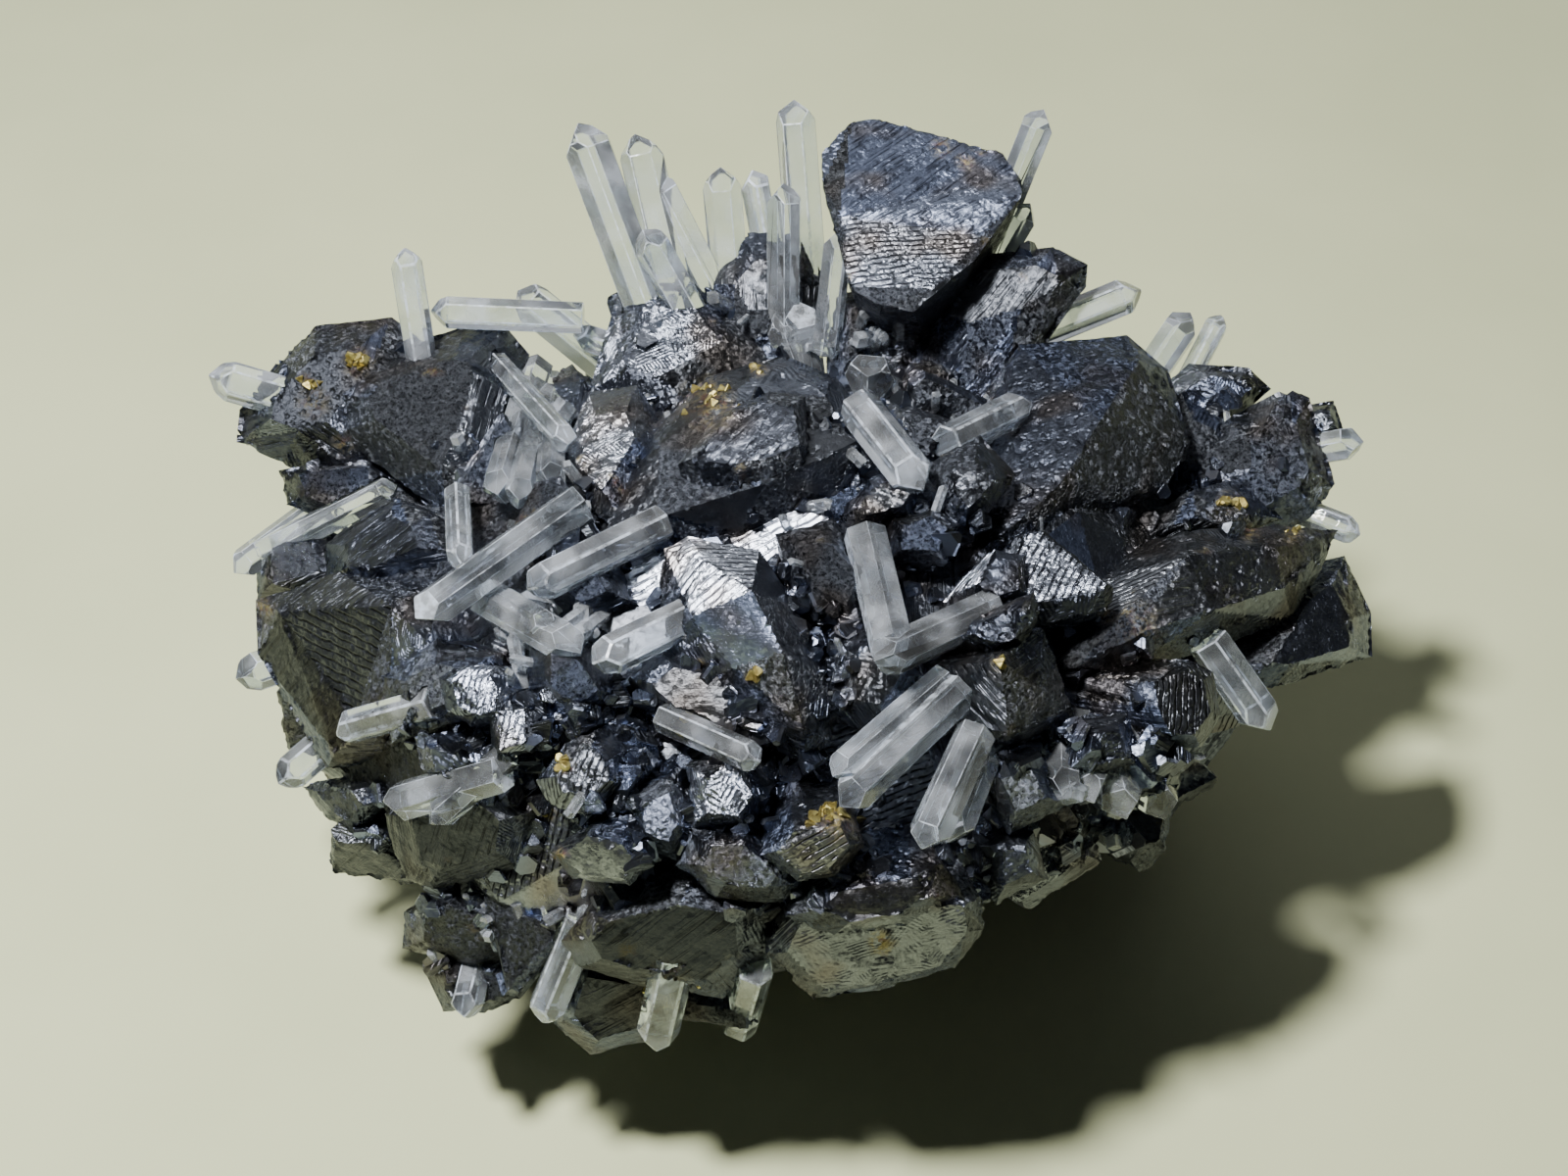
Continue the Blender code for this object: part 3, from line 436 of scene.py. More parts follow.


# Shade, the eighth value of a zone, is partly the face's own tone and partly painted light: high values
# paint a highlight on a face, low values paint shade on it.
FACE_ZONES = (
    # The crown
    FaceZone(936, 158, 34, Relief.STRIATED, 52.0, 0.8, 0.3, 1.5, 1.0, 0.15),
    FaceZone(972, 210, 26, Relief.STRIATED, 38.0, 0.6, 0.35, 1.5, 0.9, 0.2),
    FaceZone(936, 251, 26, Relief.RIBBED, 4.0, 0.2, 0.45, 1.2, 0.55, 0.55),
    FaceZone(891, 268, 22, Relief.RIBBED, 8.0, 0.2, 0.45, 1.3, 0.62, 0.6),
    FaceZone(963, 309, 24, Relief.MIRROR, 0.0, 0.1, 0.4, 0.6),
    # The domes and the table
    FaceZone(683, 332, 36, Relief.MOSAIC, 0.0, 0.2, 0.7, 1.3, 1.0, 0.45),
    FaceZone(616, 369, 26, Relief.MOSAIC, 0.0, 0.2, 0.6, 1.2, 1.0, 0.5),
    FaceZone(615, 454, 34, Relief.MOSAIC, 0.0, 0.1, 0.7, 1.5, 1.0, 0.6),
    FaceZone(760, 352, 34, Relief.GRANULAR, 0.0, 0.1, 0.4, 0.6),
    FaceZone(770, 443, 24, Relief.STRIATED, 55.0, 0.3, 0.6, 1.1, 1.3, 0.3),
    FaceZone(824, 410, 28, Relief.GRANULAR, 0.0, 0.1, 0.4, 0.6),
    FaceZone(712, 404, 24, Relief.PITTED, 0.0, 0.0, 0.3, 0.4),
    FaceZone(712, 443, 10, Relief.GRANULAR, 0.0, 0.1, 0.4, 0.8),
    FaceZone(709, 491, 22, Relief.GRANULAR, 8.0, 0.2, 0.5, 0.8),
    FaceZone(640, 515, 30, Relief.PITTED, 0.0, 0.1, 0.3, 0.5),
    FaceZone(738, 521, 26, Relief.MIRROR, 10.0, 0.1, 0.5, 0.5),
    FaceZone(820, 502, 34, Relief.MIRROR, 10.0, 0.1, 0.5, 0.5),
    # The spear
    FaceZone(728, 588, 46, Relief.RIBBED, 35.0, 0.1, 0.6, 2.2, 0.85, 0.8),
    FaceZone(756, 640, 26, Relief.MIRROR, 0.0, 0.8, 0.4, 1.6),
    FaceZone(806, 650, 30, Relief.GRANULAR, 0.0, 0.2, 0.4, 0.8),
    FaceZone(823, 705, 22, Relief.GRANULAR, 0.0, 0.1, 0.4, 0.8),
    FaceZone(690, 715, 32, Relief.MIRROR, 0.0, 0.0, 0.4, 0.6),
    FaceZone(800, 548, 36, Relief.GRANULAR, 0.0, 0.3, 0.3, 0.35),
    FaceZone(848, 590, 20, Relief.GRANULAR, 0.0, 0.2, 0.3, 0.4),
    # The right ridge and what lies before it
    FaceZone(1055, 437, 26, Relief.PITTED, 40.0, 0.5, 0.35, 0.5),
    FaceZone(1022, 460, 16, Relief.PITTED, 40.0, 0.4, 0.4, 0.7),
    FaceZone(1112, 368, 30, Relief.GRANULAR, 0.0, 0.9, 0.35, 0.5),
    FaceZone(1155, 455, 48, Relief.GRANULAR, 0.0, 0.1, 0.35, 0.65),
    FaceZone(1255, 466, 26, Relief.GRANULAR, 0.0, 0.1, 0.3, 0.6),
    FaceZone(1175, 524, 20, Relief.GRANULAR, 0.0, 0.1, 0.35, 0.6),
    FaceZone(1100, 514, 20, Relief.GRANULAR, 0.0, 0.1, 0.35, 0.5),
    FaceZone(1055, 356, 18, Relief.GRANULAR, 0.0, 0.1, 0.35, 0.5),
    FaceZone(960, 440, 40, Relief.GRANULAR, 0.0, 0.2, 0.4, 0.65),
    FaceZone(960, 500, 24, Relief.GRANULAR, 0.0, 0.2, 0.4, 0.6),
    FaceZone(969, 568, 14, Relief.STRIATED, 85.0, 0.2, 0.5, 0.8),
    FaceZone(990, 590, 18, Relief.RIBBED, 80.0, 0.2, 0.7, 2.0, 0.8, 0.8),
    FaceZone(1055, 584, 26, Relief.RIBBED, 70.0, 0.2, 0.7, 1.6, 0.7, 0.6),
    # The long crystal on the right
    FaceZone(1140, 600, 24, Relief.RIBBED, 12.0, 0.0, 0.5, 0.8, 0.7, 0.4),
    FaceZone(1175, 563, 22, Relief.PITTED, 12.0, 0.0, 0.45, 0.7),
    FaceZone(1205, 612, 24, Relief.STRIATED, 12.0, 0.0, 0.5, 0.9, 1.1, 0.2),
    FaceZone(1265, 588, 30, Relief.PITTED, 12.0, 0.1, 0.4, 0.8),
    FaceZone(1255, 550, 18, Relief.MOSAIC, 0.0, 0.1, 0.5, 0.6),
    FaceZone(1324, 556, 26, Relief.GRANULAR, 0.0, 0.1, 0.4, 0.6),
    FaceZone(1290, 618, 16, Relief.MIRROR, 12.0, 0.1, 0.5, 0.7),
    FaceZone(1355, 640, 40, Relief.MIRROR, 0.0, 0.4, 0.5, 0.8),
    FaceZone(1215, 717, 38, Relief.RIBBED, 80.0, 0.0, 0.45, 0.6, 0.65),
    FaceZone(1099, 655, 20, Relief.GRANULAR, 0.0, 0.0, 0.4, 0.7),
    FaceZone(1000, 700, 30, Relief.STRIATED, -35.0, 0.1, 0.4, 0.7, 1.3),
    FaceZone(1055, 705, 30, Relief.GRANULAR, 0.0, 0.0, 0.35, 0.45),
    # The left side
    FaceZone(430, 390, 46, Relief.GRANULAR, 0.0, 0.1, 0.3, 0.45),
    FaceZone(389, 458, 24, Relief.GRANULAR, 0.0, 0.1, 0.3, 0.45),
    FaceZone(329, 397, 24, Relief.PITTED, 0.0, 0.2, 0.15, 0.3),
    FaceZone(340, 345, 34, Relief.GRANULAR, 0.0, 0.2, 0.3, 0.5),
    FaceZone(540, 522, 30, Relief.GRANULAR, 0.0, 0.3, 0.4, 0.6),
    FaceZone(482, 622, 24, Relief.STRIATED, 20.0, 0.3, 0.5, 0.7),
    FaceZone(380, 560, 42, Relief.STRIATED, 25.0, 0.4, 0.5, 0.7, 1.3),
    FaceZone(321, 609, 18, Relief.STRIATED, 25.0, 0.1, 0.4, 0.6),
    FaceZone(348, 658, 22, Relief.RIBBED, -15.0, 0.2, 0.4, 0.4, 0.8),
    FaceZone(300, 700, 42, Relief.STRIATED, 25.0, 0.1, 0.4, 0.3, 1.2),
    FaceZone(378, 700, 28, Relief.GRANULAR, 0.0, 0.2, 0.4, 0.4),
    FaceZone(397, 788, 24, Relief.GRANULAR, 0.0, 0.1, 0.3, 0.25),
    FaceZone(430, 870, 60, Relief.STRIATED, 60.0, 0.2, 0.35, 0.2),
    FaceZone(485, 707, 26, Relief.RIBBED, 85.0, 0.3, 0.7, 1.6, 0.6, 0.8),
    FaceZone(522, 745, 22, Relief.RIBBED, 80.0, 0.2, 0.7, 1.6, 0.6, 0.7),
    FaceZone(489, 765, 14, Relief.MOSAIC, 0.0, 0.2, 0.6, 1.0),
    # The lower front
    FaceZone(590, 810, 36, Relief.RIBBED, 70.0, 0.1, 0.5, 0.9, 0.7, 0.3),
    FaceZone(614, 878, 24, Relief.MIRROR, 80.0, 0.0, 0.6, 1.2),
    FaceZone(851, 785, 20, Relief.RIBBED, 20.0, 0.4, 0.5, 0.7, 0.6),
    FaceZone(735, 812, 28, Relief.MOSAIC, 70.0, 0.2, 0.7, 1.8, 1.2, 0.8),
    FaceZone(831, 870, 24, Relief.RIBBED, 35.0, 0.0, 0.5, 1.0, 0.7),
    FaceZone(680, 955, 34, Relief.STRIATED, 50.0, 0.3, 0.35, 0.2, 1.6),
    FaceZone(730, 965, 20, Relief.RIBBED, 50.0, 0.1, 0.4, 0.5, 0.8),
    FaceZone(625, 1010, 40, Relief.STRIATED, 40.0, 0.0, 0.4, 0.25, 1.5),
    FaceZone(716, 1042, 20, Relief.GRANULAR, 0.0, 0.0, 0.3, 0.35),
    FaceZone(894, 965, 30, Relief.MOSAIC, 0.0, 0.0, 0.5, 0.8),
    FaceZone(806, 987, 20, Relief.STRIATED, 60.0, 0.1, 0.4, 0.35),
    FaceZone(892, 910, 24, Relief.MIRROR, 0.0, 0.1, 0.5, 0.7),
    FaceZone(490, 960, 50, Relief.GRANULAR, 0.0, 0.1, 0.4, 0.28),
    FaceZone(1138, 820, 50, Relief.PITTED, 0.0, 0.1, 0.4, 0.35),
    FaceZone(1000, 840, 44, Relief.MOSAIC, 0.0, 0.2, 0.5, 0.8),
)

# Yellow and brown specks and films: sheet x, y, reach in sheet units, strength
STAINS = (
    (365, 370, 16, 0.9), (313, 388, 8, 0.9), (775, 378, 8, 1.0), (722, 410, 30, 0.9), (768, 690, 9, 0.9),
    (1020, 675, 10, 0.9), (1255, 512, 14, 0.8), (1320, 545, 12, 0.8), (1275, 543, 12, 0.8),
    (855, 838, 22, 0.7), (575, 782, 10, 0.9), (640, 970, 10, 0.8), (680, 1008, 28, 0.7),
    (320, 410, 18, 0.6), (572, 872, 9, 1.0), (900, 962, 14, 0.9), (1130, 628, 10, 0.6),
    (490, 945, 14, 0.8), (1165, 640, 28, 0.5), (700, 745, 8, 0.9), (960, 150, 12, 0.6), (350, 455, 14, 0.7),
    (270, 620, 12, 0.8), (985, 165, 10, 0.7), (560, 830, 8, 0.9), (725, 395, 8, 1.0),
)


@dataclass(frozen=True)
class SphaleriteFinish:
    """Sphalerite, grown in a vein and left as found: near-black, half metallic lustre, stepped faces.

    The eye gets bright flashes where a stepped face meets the light, and near-black next to them.
    """
    dark: str = "#7f838a"
    blue: str = "#727d98"
    brown: str = "#766b60"
    stain: str = "#9c8c50"
    rust: str = "#6b4326"
    roughness_low: float = 0.20
    roughness_high: float = 0.44
    line_pitch_mm: float = 0.55
    pit_size_mm: float = 0.8
    grain_size_mm: float = 0.30
    tile_size_mm: float = 2.2
    tile_tilt: float = 0.46
    fine_tile_mm: float = 0.75
    fine_tilt: float = 0.6
    crumb_tilt: float = 1.5
    line_mm: float = 0.21
    rib_mm: float = 0.13
    pit_mm: float = 0.12
    speck_mm: float = 0.02
    deep_shadow: tuple = (0.12, 0.12, 0.13, 1)
    groove_shadow: tuple = (0.35, 0.35, 0.36, 1)

    def build(self) -> bpy.types.Material:
        """Build the material.

        Returns:
            The material.
        """
        material, tree, shader = new_material("sphalerite_grown_faces")
        relief = add_node(tree, "ShaderNodeAttribute", {"attribute_name": "relief"})
        tone = add_node(tree, "ShaderNodeAttribute", {"attribute_name": "tone"})
        kind = add_node(tree, "ShaderNodeSeparateColor", inputs={0: relief.outputs["Color"]})
        shade = add_node(tree, "ShaderNodeSeparateColor", inputs={0: tone.outputs["Color"]})
        pitted, mosaic = kind.outputs[1], kind.outputs[2]
        ribbed = maths(tree, "SUBTRACT", kind.outputs[0], 1.0, clamp=True)
        striated = maths(tree, "SUBTRACT", maths(tree, "MINIMUM", kind.outputs[0], 1.0), ribbed)
        blue, gloss, stain = shade.outputs[0], shade.outputs[1], shade.outputs[2]
        place = add_node(tree, "ShaderNodeTexCoord").outputs["Object"]
        mm_place = stretched(tree, place, (1000, 1000, 1000))
        flat = add_node(tree, "ShaderNodeUVMap", {"uv_map": "face_mm"}).outputs[0]

        along = stretched(tree, flat, (0.11, 1.0 / self.line_pitch_mm, 1.0))
        lines = noise(tree, along, 1.0, 2.0, 0.55, 0.25)
        lines = ramp(tree, lines, [(0.38, 0.0), (0.44, 0.5), (0.55, 0.55), (0.60, 1.0)])
        rib_place = add_node(tree, "ShaderNodeSeparateXYZ", inputs={0: flat}).outputs[1]
        sway = add_share(tree, rib_place, noise(tree, flat, 0.35, 2.0), 0.9)
        ribs = ramp(tree, maths(tree, "PINGPONG", sway, 0.5), [(0.09, 0.0), (0.20, 1.0)])
        worn_away = ramp(tree, noise(tree, flat, 0.45, 2.0, 0.6), [(0.40, 0.25), (0.52, 1.0)])
        striated = maths(tree, "MULTIPLY", striated, worn_away)
        ribbed = maths(tree, "MULTIPLY", ribbed, worn_away)
        tile_step = tilted_cells(tree, flat, self.tile_size_mm, self.tile_tilt, "EUCLIDEAN",
                                 self.line_pitch_mm * 0.6)
        fine_step = tilted_cells(tree, flat, self.fine_tile_mm, self.fine_tilt, "MANHATTAN")
        crumb = tilted_cells(tree, mm_place, self.grain_size_mm * 1.4, self.crumb_tilt, "EUCLIDEAN")
        pits = add_node(tree, "ShaderNodeTexVoronoi", {"feature": "F1"}, {
            "Vector": mm_place, "Scale": 1.0 / self.pit_size_mm, "Randomness": 1.0})
        pit_bowl = ramp(tree, pits.outputs["Distance"], [(0.12, 0.0), (0.42, 1.0)])
        grain = noise(tree, mm_place, 1.0 / self.grain_size_mm, 4.0, 0.7)
        speck = noise(tree, mm_place, 6.0, 2.0, 0.6)
        grained = relief.outputs["Alpha"]

        height = maths(tree, "MULTIPLY", maths(tree, "MULTIPLY", lines, striated), self.line_mm)
        height = add_share(tree, height, maths(tree, "MULTIPLY", ribs, self.rib_mm), ribbed)
        height = add_share(tree, height, maths(tree, "ADD", tile_step, fine_step), mosaic)
        height = add_share(tree, height, maths(tree, "MULTIPLY", pit_bowl, self.pit_mm), pitted)
        grain_mm = maths(tree, "ADD", maths(tree, "MULTIPLY", grained, 0.30), self.speck_mm)
        height = add_share(tree, height, grain, grain_mm)
        height = add_share(tree, height, crumb, grained)
        height = add_share(tree, height, speck, self.speck_mm)
        slope = add_node(tree, "ShaderNodeAttribute", {"attribute_name": "lean"}).outputs["Vector"]
        height = maths(tree, "ADD", height, vector_maths(tree, "DOT_PRODUCT", flat, slope, "Value"))
        bump = add_node(tree, "ShaderNodeBump", inputs={"Strength": 0.9, "Distance": MM, "Height": height})

        base = mix(tree, blue, linear(self.dark), linear(self.blue))
        brown_part = ramp(tree, noise(tree, mm_place, 0.12, 2.0), [(0.52, 0.0), (0.66, 1.0)])
        base = mix(tree, maths(tree, "MULTIPLY", brown_part, 0.6), base, linear(self.brown))
        for hollow, share, low, high, shadow in (
                (grain, grained, 0.36, 0.52, self.deep_shadow),
                (lines, striated, 0.1, 0.6, self.groove_shadow),
                (ribs, ribbed, 0.0, 0.9, self.deep_shadow)):
            base = mix(tree, share, base, ramp(tree, hollow, [(low, shadow), (high, 1.0)]), "MULTIPLY")
        film = ramp(tree, noise(tree, mm_place, 1.3, 4.0, 0.7), [(0.42, 0.0), (0.56, 1.0)])
        film = maths(tree, "MULTIPLY", stain, film)
        stain_colour = ramp(tree, noise(tree, mm_place, 0.8, 2.0), [
            (0.4, linear(self.rust)), (0.52, linear(self.stain))])
        base = mix(tree, film, base, stain_colour)
        # The face's shade scales the colour: its own tone, with painted highlights and painted shade on some
        # faces.
        base = add_node(tree, "ShaderNodeVectorMath", {"operation": "SCALE"}, {
            0: base, "Scale": tone.outputs["Alpha"]}).outputs[0]
        tree.links.new(base, shader.inputs["Base Color"])
        dull = add_node(tree, "ShaderNodeMapRange", inputs={
            0: gloss, 1: 0.0, 2: 1.0, 3: self.roughness_high, 4: self.roughness_low}).outputs[0]
        worn = maths(tree, "SUBTRACT", noise(tree, mm_place, 0.7, 3.0, 0.6), 0.5)
        dull = add_share(tree, dull, worn, 0.25)
        rough = add_share(tree, dull, film, 0.35, clamp=True)
        tree.links.new(rough, shader.inputs["Roughness"])
        bare = maths(tree, "SUBTRACT", 1.0, maths(tree, "MULTIPLY", film, 0.75))
        tree.links.new(bare, shader.inputs["Metallic"])
        tree.links.new(bump.outputs[0], shader.inputs["Normal"])
        return material


@dataclass(frozen=True)
class QuartzFinish:
    """Rock crystal, grown free in a cavity: clear, glossy, ruled across by fine growth lines.

    The eye gets bright edges, partly a painted highlight that whitens the narrow edge faces,
    the dark crystals behind bent through it, and faint veils of haze.
    """
    tint: str = "#f4f8fb"
    haze: str = "#dae7fc"
    absorbed: str = "#d6e4f2"
    density: float = 50.0
    ior: float = 1.544
    line_pitch_mm: float = 0.35
    line_mm: float = 0.006
    chip_mm: float = 0.005
    milk_at_root: float = 0.09
    milk_at_tip: float = 0.15
    painted_highlight_at_rim: float = 0.55
    middle_mm: tuple = (1.96, -4.41, 31.0)
    radii_mm: tuple = (50.0, 37.0, 27.0)

    def build(self) -> bpy.types.Material:
        """Build the material.

        Returns:
            The material.
        """
        material, tree, shader = new_material("rock_crystal_quartz")
        place = add_node(tree, "ShaderNodeTexCoord").outputs["Object"]
        mm_place = stretched(tree, place, (1000, 1000, 1000))
        along = add_node(tree, "ShaderNodeUVMap", {"uv_map": "face_mm"}).outputs[0]
        ruled = stretched(tree, along, (1.0 / self.line_pitch_mm, 0.12, 1.0))
        lines = noise(tree, ruled, 1.0, 2.0, 0.6)
        chips = noise(tree, mm_place, 0.9, 3.0, 0.55)
        caught = add_node(tree, "ShaderNodeMapRange", inputs={
            0: chips, 1: 0.4, 2: 0.6, 3: 0.15, 4: 1.0}).outputs[0]
        height = add_share(tree, maths(tree, "MULTIPLY", lines, self.line_mm), chips, self.chip_mm)
        bump = add_node(tree, "ShaderNodeBump", inputs={"Strength": 0.7, "Distance": MM, "Height": height})
        out = vector_maths(tree, "DIVIDE", vector_maths(tree, "SUBTRACT", mm_place, self.middle_mm),
                           self.radii_mm)
        milk_and_painted_highlight = add_node(tree, "ShaderNodeMapRange", inputs={
            0: vector_maths(tree, "LENGTH", out, output="Value"), 1: 0.98, 2: 1.38,
            3: self.milk_at_root, 4: self.milk_at_tip}).outputs[0]
        veil = ramp(tree, noise(tree, mm_place, 0.22, 2.0), [(0.36, 0.3), (0.52, 0.9), (0.64, 2.2)])
        milk_and_painted_highlight = maths(tree, "MULTIPLY", milk_and_painted_highlight, veil)
        # Painted highlight: the narrow edge faces are whitened, in patches, as if they caught the light.
        rim = add_node(tree, "ShaderNodeAttribute", {"attribute_name": "rim"}).outputs["Fac"]
        milk_and_painted_highlight = add_share(tree, milk_and_painted_highlight, maths(tree, "MULTIPLY", rim, caught), self.painted_highlight_at_rim, clamp=True)
        colour = mix(tree, milk_and_painted_highlight, linear(self.tint), linear(self.haze))
        tree.links.new(colour, shader.inputs["Base Color"])
        rough = maths(tree, "ADD", maths(tree, "MULTIPLY", milk_and_painted_highlight, 0.16), 0.02)
        tree.links.new(rough, shader.inputs["Roughness"])
        tree.links.new(maths(tree, "SUBTRACT", 1.0, milk_and_painted_highlight), shader.inputs["Transmission Weight"])
        shader.inputs["IOR"].default_value = self.ior
        tree.links.new(bump.outputs[0], shader.inputs["Normal"])
        absorb = add_node(tree, "ShaderNodeVolumeAbsorption", inputs={
            "Color": linear(self.absorbed), "Density": self.density})
        tree.links.new(absorb.outputs[0], tree.nodes["Material Output"].inputs["Volume"])
        return material


@dataclass(frozen=True)
class FloorFinish:
    """Matt cardboard, pale cream with a green cast, faintly mottled."""
    colour: str = "#dfe4b6"
    shade: str = "#d8deb0"

    def build(self) -> bpy.types.Material:
        """Build the material.

        Returns:
            The material.
        """
        material, tree, shader = new_material("cream_card_floor")
        place = add_node(tree, "ShaderNodeTexCoord").outputs["Object"]
        mottle = noise(tree, place, 25.0, 4.0)
        colour = ramp(tree, mottle, [(0.35, linear(self.shade)), (0.65, linear(self.colour))])
        tree.links.new(colour, shader.inputs["Base Color"])
        shader.inputs["Roughness"].default_value = 0.85
        return material


def mesh_arrays(mesh: bpy.types.Mesh) -> tuple[np.ndarray, np.ndarray]:
    """Read a mesh into arrays.

    Args:
        mesh: the mesh.

    Returns:
        The places of its vertices, and the vertex number of each corner of its faces.
    """
    places = np.zeros(len(mesh.vertices) * 3)
    mesh.vertices.foreach_get("co", places)
    corners = np.zeros(len(mesh.loops), dtype=np.int64)
    mesh.loops.foreach_get("vertex_index", corners)
    return places.reshape(-1, 3), corners


def on_face(offset: np.ndarray, along: np.ndarray, across: np.ndarray) -> np.ndarray:
    """Return the coordinates of some places in the planes of their faces.

    Args:
        offset: the places, from the origin of each plane.
        along: the first direction of each plane.
        across: its second direction.

    Returns:
        Two coordinates for each place, in millimetres.
    """
    u = np.einsum("ij,ij->i", offset, along) / MM
    v = np.einsum("ij,ij->i", offset, across) / MM
    return np.stack((u, v), axis=1)


def lay_coordinates(mesh: bpy.types.Mesh, uv: np.ndarray) -> None:
    """Lay the coordinates that the finishes read on a mesh.

    Args:
        mesh: the mesh.
        uv: two coordinates for each corner of its faces, in millimetres.
    """
    layer = mesh.uv_layers.new(name="face_mm")
    layer.data.foreach_set("uv", uv.ravel())


def write_corner_values(mesh: bpy.types.Mesh, values: dict[str, np.ndarray]) -> None:
    """Write the values that the finishes read on a mesh.

    Args:
        mesh: the mesh.
        values: name to four values for each corner of its faces.
    """
    for name, rows in values.items():
        attribute = mesh.attributes.new(name, "FLOAT_COLOR", "CORNER")
        attribute.data.foreach_set("color", rows.ravel())


def write_rims(mesh: bpy.types.Mesh, rims: np.ndarray) -> None:
    """Write how strongly a painted highlight whitens each face of some quartz.

    Args:
        mesh: the quartz.
        rims: one share for each face.
    """
    attribute = mesh.attributes.new("rim", "FLOAT", "FACE")
    attribute.data.foreach_set("value", rims)


def copy_object(source: bpy.types.Object, name: str) -> bpy.types.Object:
    """Copy a CAD node, with its own mesh and its loose triangles merged.

    Args:
        source: the node's object.
        name: the copy's name.

    Returns:
        The copy.
    """
    mesh = source.data.copy()
    mesh.name = name
    mesh.materials.clear()
    piece = bpy.data.objects.new(name, mesh)
    bpy.context.scene.collection.objects.link(piece)
    bm = bmesh.new()
    bm.from_mesh(mesh)
    bmesh.ops.remove_doubles(bm, verts=bm.verts, dist=0.000001)
    bm.to_mesh(mesh)
    bm.free()
    return piece


def select_only(piece: bpy.types.Object) -> None:
    """Deselect everything, then select and activate one object.

    Args:
        piece: the object.
    """
    bpy.ops.object.select_all(action="DESELECT")
    piece.select_set(True)
    bpy.context.view_layer.objects.active = piece


def apply_modifier(piece: bpy.types.Object, kind: str, settings: dict) -> None:
    """Add one modifier to an object, set it and apply it.

    Args:
        piece: the object.
        kind: the modifier's type.
        settings: its settings by name.
    """
    select_only(piece)
    modifier = piece.modifiers.new(kind.lower(), kind)
    for name, value in settings.items():
        setattr(modifier, name, value)
    bpy.ops.object.modifier_apply(modifier=modifier.name)


@dataclass
class FaceTable:
    """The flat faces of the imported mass: for each, a frame that lies in it and its character."""
    tree: BVHTree
    normal: np.ndarray
    along: np.ndarray
    across: np.ndarray
    origin: np.ndarray
    relief: np.ndarray
    blue: np.ndarray
    gloss: np.ndarray
    shade: np.ndarray
    coarse: np.ndarray
    lean: np.ndarray


